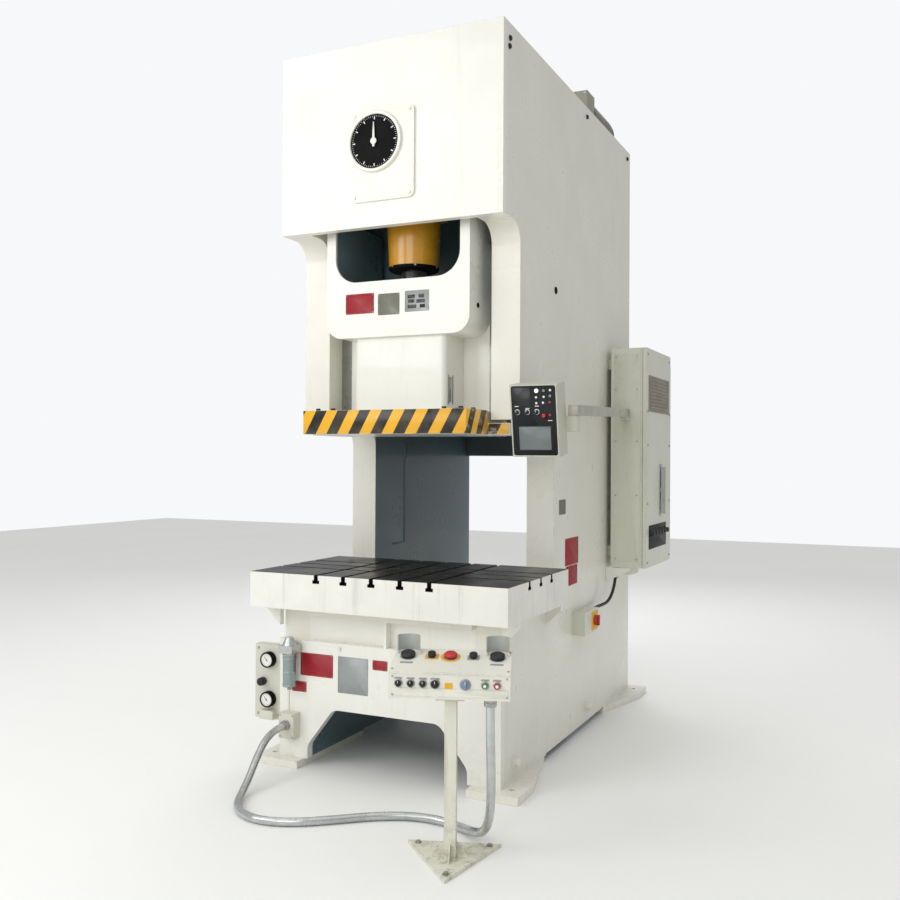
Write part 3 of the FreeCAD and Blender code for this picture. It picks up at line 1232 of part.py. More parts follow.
def disconnect():
    spans = ((HALF, f"{HALF} + box_deep"), ("box_front", "box_front + box_long"),
             ("box_low", "box_low + box_tall"))
    line = ("box_front + box_long * 0.72", "box_low + box_tall / 2")
    case = box("disconnect_case", *spans)
    gland = round_bar("cable_gland", "Y", (CABLE_X, CABLE_Z), "box_front + box_long",
                      "box_front + box_long + gland_long", "cable_radius + console_wall")
    hole = round_bar("disconnect_hole", "X", line, f"{HALF} + box_deep - cap_sunk",
                     f"{HALF} + box_deep", "box_stem" + BORE)
    node(join("disconnect_box", cut("disconnect_bored", case, hole), gland), "disconnect_box")

    stem = round_bar("disconnect_stem", "X", line, f"{HALF} + box_deep - cap_sunk / 2",
                     f"{HALF} + box_deep + cap_gap", "box_stem")
    disc = round_bar("disconnect_disc", "X", line, f"{HALF} + box_deep + cap_gap",
                     f"{HALF} + box_deep + cap_gap + box_knob_deep / 2", "box_knob")
    lever = box("disconnect_lever",
                (f"{HALF} + box_deep + cap_gap", f"{HALF} + box_deep + cap_gap + box_knob_deep"),
                (line[0] + " - box_stem", line[0] + " + box_stem"),
                (line[1] + " - box_knob", line[1] + " + box_knob"))
    node(join("disconnect_handle", stem, disc, lever), "disconnect_handle")


# ------------------------------------------------------------------ air gear

def air_gear():
    plate_box = box("air_backing", ("panel_left", "-" + HALF),
                    ("panel_front", "panel_front + panel_thick"), ("panel_low", "panel_high"))
    gauges = [round_bar(f"gauge_{words}", "Y", ("gauge_x", height), "panel_front - gauge_deep",
                        "panel_front", "gauge_radius")
              for words, height in (("high", "gauge_high"), ("low", "gauge_low"))]
    valve = box("valve_block", ("gauge_x - valve_wide / 2", "gauge_x + valve_wide / 2"),
                ("panel_front - valve_deep", "panel_front"),
                ("panel_low + console_wall", "panel_low + console_wall + valve_tall"))
    line = ("regulator_x", "regulator_height")
    hole = round_bar("regulator_hole", "Y", line, "panel_front", "panel_front + cap_sunk",
                     "regulator_stem" + BORE)
    node(cut("air_panel", join("air_panel_whole", plate_box, *gauges, valve), hole), "air_panel")

    stem = round_bar("regulator_bar", "Y", line, "panel_front - cap_gap",
                     "panel_front + cap_sunk / 2", "regulator_stem")
    knob = round_bar("regulator_grip", "Y", line, "panel_front - cap_gap - regulator_deep",
                     "panel_front - cap_gap", "regulator_radius")
    node(join("regulator_knob", stem, knob), "regulator_knob")

    spot = ("bowl_x", "-bed_reach - bowl_reach")
    bowl = round_bar("oiler_bowl", "Z", spot, "bowl_low", "bowl_high", "bowl_radius")
    drain = round_bar("oiler_drain", "Z", spot, "bowl_low - bowl_radius / 2", "bowl_low",
                      "bowl_radius / 3")
    head = box("oiler_head", ("bowl_x - head_half", "bowl_x + head_half"),
               (f"{spot[1]} - head_half", f"{spot[1]} + head_half"),
               ("bowl_high", "bowl_high + head_tall / 2"))
    arm = box("oiler_arm", ("bowl_x - head_half / 2", "bowl_x + head_half / 2"),
              (spot[1], "-bed_reach"), ("bowl_high", "bowl_high + head_tall / 2"))
    dome = cone("oiler_dome", "Z", spot, "bowl_high + head_tall / 2", "bowl_high + head_tall",
                "head_half - console_wall", "head_half / 2")
    node(join("air_oiler", bowl, drain, head, arm, dome), "air_oiler")

    junction = box("junction_case", ("junction_x - junction_wide / 2",
                                     "junction_x + junction_wide / 2"),
                   ("-bed_reach - junction_deep", "-bed_reach"),
                   ("junction_mid - junction_tall / 2", "junction_mid + junction_tall / 2"))
    node(group("junction_box", junction), "junction_box")


# ------------------------------------------------------------------ conduit and cable

CABLE_X = "(frame_width / 2 + box_deep / 2)"
CABLE_Z = "(box_low + box_tall - gland_long)"

# The conduit hangs from the console, turns onto the floor, lies there in a long bow and
# rises to the junction box.
CONDUIT_ROUTE = [
    (827, -954, 623), (827, -954, 510), (826, -944, 385), (818, -921, 262), (797, -882, 157),
    (757, -828, 78), (697, -768, 33), (610, -712, 19), (495, -672, 18), (355, -680, 18),
    (215, -752, 18), (85, -862, 18), (-45, -960, 18), (-185, -1003, 18), (-308, -968, 18),
    (-390, -885, 18), (-440, -785, 24), (-472, -690, 58), (-495, -606, 118),
    (-511, -520, 176), (-519, -424, 205), (-519, -332, 205)]
# The supply cable leaves the disconnect box's rear and rises into the cabinet's floor.
CABLE_ROUTE = [
    (631, 992, 671), (631, 1072, 671), (634, 1160, 670), (640, 1247, 673), (645, 1317, 701),
    (648, 1371, 754), (650, 1400, 824), (650, 1400, 868)]


def arc_at(before, corner, after):
    """The tangent arc at a point of a route: as large as its two runs allow."""
    back, ahead = before - corner, after - corner
    turn = math.pi - back.getAngle(ahead)
    reach = 0.45 * min(back.Length, ahead.Length)
    radius = reach / math.tan(turn / 2)
    start = corner + back.normalize() * reach
    end = corner + ahead.normalize() * reach
    bisector = (back + ahead).normalize()
    inward = radius / math.cos(turn / 2) - radius
    return Part.Arc(start, corner + bisector * inward, end), start, end, radius


def cord(name, route, radius_alias):
    points = [FreeCAD.Vector(*point) for point in route]
    edges, last, radii = [], points[0], []
    for before, corner, after in zip(points, points[1:], points[2:]):
        arc, start, end, radius = arc_at(before, corner, after)
        edges += [Part.LineSegment(last, start).toShape(), arc.toShape()]
        last = end
        radii.append(radius)
    edges.append(Part.LineSegment(last, points[-1]).toShape())
    path = Part.Wire(edges)
    radius = number(radius_alias)
    ring = Part.Wire(Part.makeCircle(radius, points[0], points[1] - points[0]))
    tube = path.makePipeShell([ring], True, False)
    thing = doc.addObject("Part::Feature", name)
    thing.Shape = tube
    place(thing)
    full = math.pi * radius ** 2 * path.Length
    print(f"{name}: length {path.Length:.0f}, volume {tube.Volume / full:.4f} of section"
          f" times length, radii", " ".join(f"{value:.0f}" for value in radii))
    node(thing, name)


# ------------------------------------------------------------------ build and write

def write_parts():
    doc.recompute()
    for thing in doc.Objects:
        if "Invalid" in thing.State or "Error" in thing.State:
            raise RuntimeError(f"{thing.Label} failed: {thing.State}")
    for thing in NODES:
        if thing.Shape.isNull() or not thing.Shape.isValid():
            raise RuntimeError(f"{thing.Label} has no valid shape")
    os.makedirs("parts", exist_ok=True)
    for thing in NODES:
        thing.Shape.exportStep(f"parts/{thing.Label}.step")
    print(len(NODES), "sub-parts written")


side_frame("side_frame_left", "-" + HALF, "-" + INSIDE, "-" + INSIDE, "-" + NARROW)
side_frame("side_frame_right", INSIDE, HALF, NARROW, INSIDE)
cross_plates()
foot_plates()
bed()
bolster()
slide()
connecting_rod()
crankshaft()
gears()
flywheel()
drive_belt()
motor()
dial()
console()
cabinet()
pendant_arm()
pendant()
disconnect()
air_gear()
cord("console_conduit", CONDUIT_ROUTE, "conduit_radius")
cord("supply_cable", CABLE_ROUTE, "cable_radius")
write_parts()
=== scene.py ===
import math
import bmesh
import bpy
from mathutils import Matrix, Vector


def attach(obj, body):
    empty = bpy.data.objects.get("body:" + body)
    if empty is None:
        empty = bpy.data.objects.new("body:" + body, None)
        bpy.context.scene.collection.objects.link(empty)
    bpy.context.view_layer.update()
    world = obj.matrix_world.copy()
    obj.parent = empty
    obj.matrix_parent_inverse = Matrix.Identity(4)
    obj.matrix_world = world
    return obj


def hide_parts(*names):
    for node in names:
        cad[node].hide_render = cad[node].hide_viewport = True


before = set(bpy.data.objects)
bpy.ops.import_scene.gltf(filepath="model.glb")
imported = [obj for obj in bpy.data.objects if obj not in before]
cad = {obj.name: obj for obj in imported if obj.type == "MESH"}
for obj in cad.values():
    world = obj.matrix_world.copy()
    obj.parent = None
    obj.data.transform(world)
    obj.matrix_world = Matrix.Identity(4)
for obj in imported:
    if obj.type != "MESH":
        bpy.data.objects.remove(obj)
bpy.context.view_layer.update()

# ---------------------------------------------------------------- viewpoint
# A person of middle height stands at the machine's right front corner and looks level at it.
# The lens is a plain one with no shift.
EYE = Vector((2.2299, -4.2890, 1.5246))
YAW, PITCH, ROLL = (math.radians(turn) for turn in (25.283, 0.386, 0.3035))
ahead = Vector((-math.sin(YAW) * math.cos(PITCH), math.cos(YAW) * math.cos(PITCH), math.sin(PITCH)))
level = Vector((math.cos(YAW), math.sin(YAW), 0))
overhead = level.cross(ahead)
right = level * math.cos(ROLL) + overhead * math.sin(ROLL)
upright = overhead * math.cos(ROLL) - level * math.sin(ROLL)
camera_data = bpy.data.cameras.new("viewpoint")
camera_data.lens, camera_data.sensor_width = 38.68, 36.0
camera_data.clip_end = 100
camera = bpy.data.objects.new("viewpoint", camera_data)
camera.matrix_world = Matrix((
    (right.x, upright.x, -ahead.x, EYE.x), (right.y, upright.y, -ahead.y, EYE.y),
    (right.z, upright.z, -ahead.z, EYE.z), (0, 0, 0, 1)))
bpy.context.scene.collection.objects.link(camera)
bpy.context.scene.camera = camera


# ---------------------------------------------------------------- flexible conduit and supply cable
# The console's wires run in a metal-wound conduit with a thin grey jacket, which leaves the
# console's floor, lies on the shop floor in one loose bow and ends in the box on the bed.
# A plain black cable feeds the control cabinet from the isolator beside it.
def linear(code):
    """A screen colour such as "E0DCC8" as the linear red, green, blue and alpha of a shader."""
    parts = [int(code[i:i + 2], 16) / 255 for i in (0, 2, 4)]
    return tuple(p / 12.92 if p <= 0.04045 else ((p + 0.055) / 1.055) ** 2.4
                 for p in parts) + (1.0,)


def put(tree, kind, feeds=None, **settings):
    """A new shader or geometry node with its settings, and its inputs given values or links."""
    made = tree.nodes.new(kind)
    for name, value in settings.items():
        setattr(made, name, value)
    for name, value in (feeds or {}).items():
        if isinstance(value, bpy.types.NodeSocket):
            tree.links.new(value, made.inputs[name])
        else:
            made.inputs[name].default_value = value
    return made


def new_group(name, kind, inputs, outputs):
    """An empty node group with named sockets, and its two ends."""
    group = bpy.data.node_groups.new(name, kind)
    for title, socket, value in inputs:
        made = group.interface.new_socket(title, in_out="INPUT", socket_type=socket)
        if value is not None:
            made.default_value = value
    for title, socket in outputs:
        group.interface.new_socket(title, in_out="OUTPUT", socket_type=socket)
    return group, group.nodes.new("NodeGroupInput"), group.nodes.new("NodeGroupOutput")


def spread(tree, value, low, high, to_low=0.0, to_high=1.0):
    """A value rescaled from one range to another, held at its ends."""
    return put(tree, "ShaderNodeMapRange", {"Value": value, "From Min": low, "From Max": high,
                                            "To Min": to_low, "To Max": to_high}).outputs[0]


def maths(tree, work, first, second=None):
    """One sum on one or two values or links."""
    feeds = {0: first} if second is None else {0: first, 1: second}
    return put(tree, "ShaderNodeMath", feeds, operation=work).outputs[0]


def blend_tone(tree, share, below, above):
    return put(tree, "ShaderNodeMix", {0: share, 6: below, 7: above}, data_type="RGBA").outputs[2]


def noise(tree, place, scale, detail=3.0, rough=0.5):
    return put(tree, "ShaderNodeTexNoise", {"Vector": place, "Scale": scale, "Detail": detail,
                                            "Roughness": rough}).outputs["Fac"]


# Edge wear: paint rubbed thin or grubby where a corner is touched, in broken patches.
edge_wear, start, end = new_group("edge_wear", "ShaderNodeTree", [
    ("Place", "NodeSocketVector", None), ("Width", "NodeSocketFloat", 0.004),
    ("Break-up", "NodeSocketFloat", 30.0), ("Amount", "NodeSocketFloat", 1.0)],
    [("Mask", "NodeSocketFloat")])
rounded = put(edge_wear, "ShaderNodeBevel", {"Radius": start.outputs["Width"]}, samples=4)
true_face = put(edge_wear, "ShaderNodeNewGeometry")
together = put(edge_wear, "ShaderNodeVectorMath",
               {0: rounded.outputs[0], 1: true_face.outputs["Normal"]}, operation="DOT_PRODUCT")
corner = spread(edge_wear, together.outputs["Value"], 0.995, 0.90)
patches = spread(edge_wear, noise(edge_wear, start.outputs["Place"],
                                  start.outputs["Break-up"], 4.0, 0.65), 0.42, 0.62)
edge_wear.links.new(maths(edge_wear, "MULTIPLY", maths(edge_wear, "MULTIPLY", corner, patches),
                          start.outputs["Amount"]), end.inputs["Mask"])

# Age of a painted or bare surface: slow patches of a second tone, faint runs down upright faces,
# dust near the floor, and the fine peel of sprayed enamel.
ageing, start, end = new_group("ageing", "ShaderNodeTree", [
    ("Place", "NodeSocketVector", None), ("Base", "NodeSocketColor", (1, 1, 1, 1)),
    ("Second Tone", "NodeSocketColor", (1, 1, 1, 1)), ("Dirt", "NodeSocketColor", (0, 0, 0, 1)),
    ("Patch Size", "NodeSocketFloat", 3.0), ("Patch Amount", "NodeSocketFloat", 0.5),
    ("Dirt Amount", "NodeSocketFloat", 0.3), ("Gloss", "NodeSocketFloat", 0.3),
    ("Peel", "NodeSocketFloat", 160.0)],
    [("Color", "NodeSocketColor"), ("Roughness", "NodeSocketFloat"), ("Height", "NodeSocketFloat")])
place = start.outputs["Place"]
slow = spread(ageing, noise(ageing, place, start.outputs["Patch Size"], 5.0, 0.6), 0.35, 0.68)
tone = blend_tone(ageing, maths(ageing, "MULTIPLY", slow, start.outputs["Patch Amount"]),
                  start.outputs["Base"], start.outputs["Second Tone"])
drawn = put(ageing, "ShaderNodeMapping", {"Vector": place, "Scale": (9.0, 9.0, 0.7)}).outputs[0]
runs = spread(ageing, noise(ageing, drawn, 2.2, 6.0, 0.7), 0.56, 0.80, 0.0, 0.55)
height_up = put(ageing, "ShaderNodeSeparateXYZ", {0: place}).outputs["Z"]
near_floor = spread(ageing, height_up, 0.0, 0.32, 1.0, 0.0)
specks = spread(ageing, noise(ageing, place, 26.0, 8.0, 0.72), 0.48, 0.72)
low_dust = maths(ageing, "MULTIPLY", near_floor, specks)
grime = maths(ageing, "MULTIPLY", maths(ageing, "MAXIMUM", runs, low_dust),
              start.outputs["Dirt Amount"])
ageing.links.new(blend_tone(ageing, grime, tone, start.outputs["Dirt"]), end.inputs["Color"])
dulled = maths(ageing, "MULTIPLY", maths(ageing, "ADD", slow, grime), 0.14)
ageing.links.new(maths(ageing, "ADD", start.outputs["Gloss"], dulled), end.inputs["Roughness"])
peel = noise(ageing, place, start.outputs["Peel"], 2.0, 0.5)
ageing.links.new(maths(ageing, "ADD", maths(ageing, "MULTIPLY", peel, 0.35),
                       maths(ageing, "MULTIPLY", slow, 0.2)), end.inputs["Height"])

# A box in the machine's own frame, for a finish that stops at a line, such as a masked edge.
within, start, end = new_group("within_box", "ShaderNodeTree", [
    ("Place", "NodeSocketVector", None), ("Low", "NodeSocketVector", None),
    ("High", "NodeSocketVector", None)], [("Mask", "NodeSocketFloat")])
above = put(within, "ShaderNodeVectorMath", {0: start.outputs["Place"], 1: start.outputs["Low"]},
            operation="SUBTRACT").outputs[0]
below = put(within, "ShaderNodeVectorMath", {0: start.outputs["High"], 1: start.outputs["Place"]},
            operation="SUBTRACT").outputs[0]
least = put(within, "ShaderNodeVectorMath", {0: above, 1: below}, operation="MINIMUM").outputs[0]
sides = put(within, "ShaderNodeSeparateXYZ", {0: least})
smallest = maths(within, "MINIMUM", sides.outputs[0],
                 maths(within, "MINIMUM", sides.outputs[1], sides.outputs[2]))
within.links.new(maths(within, "GREATER_THAN", smallest, 0.0), end.inputs["Mask"])


def grouped(tree, group, **feeds):
    """Place a shared group in a material; feeds are named after its sockets."""
    return put(tree, "ShaderNodeGroup", {name.replace("_", " "): value
                                         for name, value in feeds.items()}, node_tree=group)


def finish_of(name, base, second=None, dirt="6B6350", metal=0.0, gloss=0.32, patches=3.0,
              patch_amount=0.5, dirt_amount=0.3, peel=160.0, depth=0.0006, wear="8C8878",
              wear_width=0.003, wear_amount=0.5, regions=(), coat=0.0, emit=0.0):
    """A finish in its real layers: tone, age, worn corners and the surface's own fine relief.
    Regions are (low corner, high corner, colour): where the same piece has a second colour."""
    made = bpy.data.materials.new(name)
    made.use_nodes = True
    tree = made.node_tree
    shader = tree.nodes["Principled BSDF"]
    place = put(tree, "ShaderNodeTexCoord").outputs["Object"]
    tone = linear(base)
    for low, high, code in regions:
        mask = grouped(tree, within, Place=place, Low=low, High=high).outputs["Mask"]
        tone = blend_tone(tree, mask, tone, linear(code))
    other = tone if second is None else linear(second)
    if regions:
        other = blend_tone(tree, 0.12, tone, linear(dirt))
    aged = grouped(tree, ageing, Place=place, Base=tone, Second_Tone=other, Dirt=linear(dirt),
                   Patch_Size=patches, Patch_Amount=patch_amount, Dirt_Amount=dirt_amount,
                   Gloss=gloss, Peel=peel)
    worn = grouped(tree, edge_wear, Place=place, Width=wear_width, Amount=wear_amount)
    colour = blend_tone(tree, worn.outputs["Mask"], aged.outputs["Color"], linear(wear))
    tree.links.new(colour, shader.inputs["Base Color"])
    tree.links.new(aged.outputs["Roughness"], shader.inputs["Roughness"])
    relief = put(tree, "ShaderNodeBump", {"Height": aged.outputs["Height"], "Strength": 0.35,
                                          "Distance": depth})
    tree.links.new(relief.outputs[0], shader.inputs["Normal"])
    shader.inputs["Metallic"].default_value = metal
    shader.inputs["Coat Weight"].default_value = coat
    if emit:
        shader.inputs["Emission Color"].default_value = linear(base)
        shader.inputs["Emission Strength"].default_value = emit
    return made


def wear_finish(finish, *nodes):
    """Give CAD nodes a finish in place of the materials that they came with."""
    for name in nodes:
        node = cad[name]
        node.data.materials.clear()
        node.data.materials.append(finish)


def smooth_route(name, corners):
    """The NURBS line that has a route's points as its control points."""
    data = bpy.data.curves.new(name, "CURVE")
    data.dimensions = "3D"
    line = data.splines.new("NURBS")
    line.points.add(len(corners) - 1)
    for point, corner in zip(line.points, corners):
        point.co = (corner[0] / 1000, corner[1] / 1000, corner[2] / 1000, 1)
    line.order_u, line.use_endpoint_u, line.resolution_u = 3, True, 24
    thing = bpy.data.objects.new(name, data)
    bpy.context.scene.collection.objects.link(thing)
    return thing


def points_along(thing):
    """The points of a curve's own line, from the curve with no bevel."""
    bpy.context.view_layer.update()
    mesh = bpy.data.meshes.new_from_object(thing.evaluated_get(
        bpy.context.evaluated_depsgraph_get()))
    return [vertex.co.copy() for vertex in mesh.vertices]


def even_steps(points, step):
    """Points a step apart along a line, with both its ends."""
    lengths = [0.0]
    for a, b in zip(points, points[1:]):
        lengths.append(lengths[-1] + (b - a).length)
    count = max(2, round(lengths[-1] / step))
    placed, leg = [], 0
    for i in range(count + 1):
        want = lengths[-1] * i / count
        while leg < len(points) - 2 and lengths[leg + 1] < want:
            leg += 1
        share = (want - lengths[leg]) / max(lengths[leg + 1] - lengths[leg], 1e-9)
        placed.append(points[leg].lerp(points[leg + 1], share))
    return placed, lengths[-1]


def show(name, bm, body, finish, smooth=50):
    """Close a piece: one mesh in its place, normals outward, a finish, and the body it rides on."""
    bmesh.ops.recalc_face_normals(bm, faces=bm.faces)
    mesh = bpy.data.meshes.new(name)
    bm.to_mesh(mesh)
    bm.free()
    for face in mesh.polygons:
        face.use_smooth = True
    mesh.set_sharp_from_angle(angle=math.radians(smooth))
    mesh.materials.append(finish)
    thing = bpy.data.objects.new(name, mesh)
    bpy.context.scene.collection.objects.link(thing)
    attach(thing, body)
    return thing


def wound_tube(bm, line, radius_at, around=20):
    """A closed tube along a line of points; radius_at gives the radius at each ring."""
    rings, side = [], None
    for i, point in enumerate(line):
        ahead = (line[min(i + 1, len(line) - 1)] - line[max(i - 1, 0)]).normalized()
        side = ahead.orthogonal() if side is None else side - ahead * side.dot(ahead)
        side.normalize()
        other = ahead.cross(side)
        rings.append([bm.verts.new(point + radius_at(i) * (
            side * math.cos(math.tau * k / around) + other * math.sin(math.tau * k / around)))
            for k in range(around)])
    for a, b in zip(rings, rings[1:]):
        for k in range(around):
            bm.faces.new((a[k], a[(k + 1) % around], b[(k + 1) % around], b[k]))
    bm.faces.new(rings[0])
    bm.faces.new(rings[-1])


CONDUIT_RADIUS, CONDUIT_PITCH, CONDUIT_GROOVE = 0.0175, 0.0088, 0.0009
CONDUIT_ROUTE = [
    (827, -954, 623), (827, -954, 510), (826, -944, 385), (818, -921, 262), (797, -882, 157),
    (757, -828, 78), (697, -768, 33), (610, -712, 19), (495, -672, 18), (355, -680, 18),
    (215, -752, 18), (85, -862, 18), (-45, -960, 18), (-185, -1003, 18), (-308, -968, 18),
    (-390, -885, 18), (-440, -785, 24), (-472, -690, 58), (-495, -606, 118),
    (-511, -520, 176), (-519, -424, 205), (-519, -332, 205)]
CABLE_RADIUS = 0.009
CABLE_ROUTE = [
    (631, 992, 671), (631, 1072, 671), (634, 1160, 670), (640, 1247, 673), (645, 1317, 701),
    (648, 1371, 754), (650, 1400, 824), (650, 1400, 868)]
conduit_jacket = finish_of("conduit_jacket", "C9CCCB", "A7ABAB", dirt="5A5A52", metal=0.75,
                           gloss=0.2, patches=9.0, dirt_amount=0.35, peel=400, wear_amount=0.0, coat=0.3)
cable_jacket = finish_of("cable_jacket", "1A1B1C", "2B2C2D", gloss=0.45, patches=14.0,
                         dirt_amount=0.25, wear_amount=0.0)


def lay_cord(name, route, radius, step, groove, finish, node):
    """A cord along its route: the tube that is seen, in place of the plain part."""
    guide = smooth_route(name + "_line", route)
    line = points_along(guide)
    bpy.data.objects.remove(guide)
    rings, length = even_steps(line, step)
    bm = bmesh.new()
    wound_tube(bm, rings, lambda i: radius - (groove if i % 2 else 0.0))
    tube = show(name, bm, "frame", finish, 80)
    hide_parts(node)


lay_cord("flexible_conduit", CONDUIT_ROUTE, CONDUIT_RADIUS, CONDUIT_PITCH / 2, CONDUIT_GROOVE,
         conduit_jacket, "console_conduit")
lay_cord("cabinet_feed", CABLE_ROUTE, CABLE_RADIUS, 0.012, 0.0, cable_jacket,
         "supply_cable")

# ---------------------------------------------------------------- workshop floor and light
# The machine stands on a plain pale floor under large soft lamps, brightest on its front.
floor_mesh = bpy.data.meshes.new("shop_floor")
FLOOR_HALF = 14.0
floor_mesh.from_pydata([(x * FLOOR_HALF, y * FLOOR_HALF, -0.0006) for x, y in
                        ((-1, -1), (1, -1), (1, 1), (-1, 1))], [], [(0, 1, 2, 3)])
floor = bpy.data.objects.new("shop_floor", floor_mesh)
bpy.context.scene.collection.objects.link(floor)
pale = finish_of("pale_floor", "F2F2EF", "ECECE8", dirt="DADAD4", gloss=0.6, patches=0.6,
                 dirt_amount=0.05, wear_amount=0.0)
floor_mesh.materials.append(pale)
world = bpy.data.worlds.new("soft_room")
bpy.context.scene.world = world
world.use_nodes = True
room = world.node_tree.nodes["Background"]
room.inputs["Color"].default_value = (0.97, 0.98, 1.0, 1)
room.inputs["Strength"].default_value = 0.47
backdrop = world.node_tree.nodes.new("ShaderNodeBackground")
backdrop.inputs["Color"].default_value = (0.93, 0.94, 0.95, 1)
seen = world.node_tree.nodes.new("ShaderNodeMixShader")
seen_by = world.node_tree.nodes.new("ShaderNodeLightPath")
for socket_out, socket_in in ((seen_by.outputs["Is Camera Ray"], seen.inputs[0]),
                              (room.outputs[0], seen.inputs[1]),
                              (backdrop.outputs[0], seen.inputs[2]),
                              (seen.outputs[0],
                               world.node_tree.nodes["World Output"].inputs["Surface"])):
    world.node_tree.links.new(socket_out, socket_in)
bpy.context.scene.view_settings.view_transform = "Standard"
for title, spot, size, power, aim in (
        ("front_left_softbox", (-3.4, -5.2, 4.2), 3.5, 135, (0, 0, 1.7)),
        ("front_high_softbox", (0.8, -6.0, 3.2), 3.0, 82, (0, 0, 1.8)),
        ("right_fill", (5.5, -1.5, 3.0), 3.0, 8, (0.5, 0.8, 1.6)),
        ("rear_high", (-1.5, 5.5, 4.8), 3.5, 110, (0, 0.8, 2.4))):
    lamp_data = bpy.data.lights.new(title, "AREA")
    lamp_data.size, lamp_data.energy = size, power
    lamp = bpy.data.objects.new(title, lamp_data)
    lamp.location = spot
    lamp.rotation_mode = "QUATERNION"
    lamp.rotation_quaternion = (Vector(aim) - Vector(spot)).to_track_quat("-Z", "Y")
    bpy.context.scene.collection.objects.link(lamp)

CEILING_POWER, CEILING_WIDTH = 0.85, 1.3
ceiling_data = bpy.data.lights.new("ceiling_glow", "SUN")
ceiling_data.energy, ceiling_data.angle = CEILING_POWER, CEILING_WIDTH
ceiling = bpy.data.objects.new("ceiling_glow", ceiling_data)
bpy.context.scene.collection.objects.link(ceiling)

# ---------------------------------------------------------------- welded frame
# Two thick C-shaped plates with doublers round the throat carry everything. The plates that tie
# them are welded in. Outside is cream machine enamel, and inside is grey-green primer enamel.
CREAM, CREAM_SHADE, INSIDE_TONE = "E9E7DB", "DFDCCB", "5F7880"
enamel = dict(dirt="8F8A72", gloss=0.26, patch_amount=0.55, dirt_amount=0.22, coat=0.25)
frame_enamel = finish_of("frame_enamel", CREAM, CREAM_SHADE, regions=(
    ((-0.5945, 0.4145, 0.03), (0.5945, 1.893, 3.499), INSIDE_TONE),
    ((-0.5945, -0.055, 2.27), (0.5945, 0.4145, 3.499), INSIDE_TONE),
    ((-0.5945, -0.215, 0.03), (0.5945, 1.893, 0.785), INSIDE_TONE)), **enamel)
# The crown's front plate takes a whiter copy of the frame's cream: painted light on faces turned to the
# lamps. Its inside keeps the inside tone.
front_enamel_painted_lit = finish_of("front_enamel_painted_lit", "EEEDE4", "E5E3D6", regions=(
    ((-0.58, -0.239, 2.60), (0.58, 3.0, 3.46), INSIDE_TONE),), **enamel)
inner_enamel = finish_of("inner_enamel", INSIDE_TONE, "54696F", dirt="39444A", gloss=0.34,
                         dirt_amount=0.4)
wear_finish(frame_enamel, "side_frame_left", "side_frame_right", "crown_top_plate",
            "rear_tie_plate", "foot_plates")
wear_finish(front_enamel_painted_lit, "crown_front_plate")
rear_enamel = finish_of("rear_enamel", CREAM, CREAM_SHADE, regions=(
    ((-0.60, 1.0, 1.0), (0.60, 1.8935, 4.0), "7F8F8C"),), **enamel)
wear_finish(rear_enamel, "rear_cover_plate")
wear_finish(inner_enamel, "guide_wall", "drive_floor", "bed_rear_plate")

# ---------------------------------------------------------------- crown front and angle dial
# The crown's front plate is welded in flush. A cover plate on it carries the crank-angle dial:
# a black face with white marks in a plain ring, held by a screw at each corner of the cover.
FACES = {"front": ((1, 0, 0), (0, 0, 1), (0, -1, 0)), "back": ((-1, 0, 0), (0, 0, 1), (0, 1, 0)),
         "right": ((0, 1, 0), (0, 0, 1), (1, 0, 0)), "left": ((0, -1, 0), (0, 0, 1), (-1, 0, 0)),
         "up": ((1, 0, 0), (0, 1, 0), (0, 0, 1)), "down": ((1, 0, 0), (0, -1, 0), (0, 0, -1))}


def facing(x, y, z, way="front"):
    """Where a small part sits: its own Z stands out of the face that it is on."""
    a, b, c = FACES[way]
    return Matrix(((a[0], b[0], c[0], x), (a[1], b[1], c[1], y), (a[2], b[2], c[2], z),
                   (0, 0, 0, 1)))


def shifted(x=0.0, y=0.0, z=0.0):
    return Matrix.Translation((x, y, z))


def turned_shape(bm, where, profile, around=32):
    """A solid turned from (radius, height) points, from its foot to its crown."""
    rings = []
    for radius, height in profile:
        if radius < 1e-7:
            rings.append([bm.verts.new(where @ Vector((0, 0, height)))])
        else:
            rings.append([bm.verts.new(where @ Vector((
                radius * math.cos(math.tau * k / around),
                radius * math.sin(math.tau * k / around), height))) for k in range(around)])
    for a, b in zip(rings, rings[1:]):
        for k in range(around):
            n = (k + 1) % around
            if len(a) == 1:
                bm.faces.new((a[0], b[k], b[n]))
            elif len(b) == 1:
                bm.faces.new((a[k], a[n], b[0]))
            else:
                bm.faces.new((a[k], a[n], b[n], b[k]))
    for ring in (rings[0], rings[-1]):
        if len(ring) > 1:
            bm.faces.new(ring)


def ring_shape(bm, where, loop, around=48):
    """A ring turned from a closed loop of (radius, height) points."""
    rings = [[bm.verts.new(where @ Vector((radius * math.cos(math.tau * k / around),
                                           radius * math.sin(math.tau * k / around), height)))
              for k in range(around)] for radius, height in loop]
    for a, b in zip(rings, rings[1:] + rings[:1]):
        for k in range(around):
            n = (k + 1) % around
            bm.faces.new((a[k], a[n], b[n], b[k]))


def soft_block(bm, where, size, soft=0.0015, steps=2):
    """A block with its foot on the surface and its corners eased."""
    made = bmesh.ops.create_cube(bm, size=1.0, matrix=where @ shifted(0, 0, size[2] / 2)
                                 @ Matrix.Diagonal((*size, 1)))
    edges = list({edge for vert in made["verts"] for edge in vert.link_edges})
    bmesh.ops.bevel(bm, geom=edges, offset=min(soft, min(size) * 0.45), segments=steps,
                    affect="EDGES", profile=0.5)


def rounded_outline(wide, tall, radius, steps=4):
    spots = []
    for cx, cy, first in ((1, 1, 0), (-1, 1, 90), (-1, -1, 180), (1, -1, 270)):
        for k in range(steps + 1):
            angle = math.radians(first + 90 * k / steps)
            spots.append((cx * (wide / 2 - radius) + radius * math.cos(angle),
                          cy * (tall / 2 - radius) + radius * math.sin(angle)))
    return spots


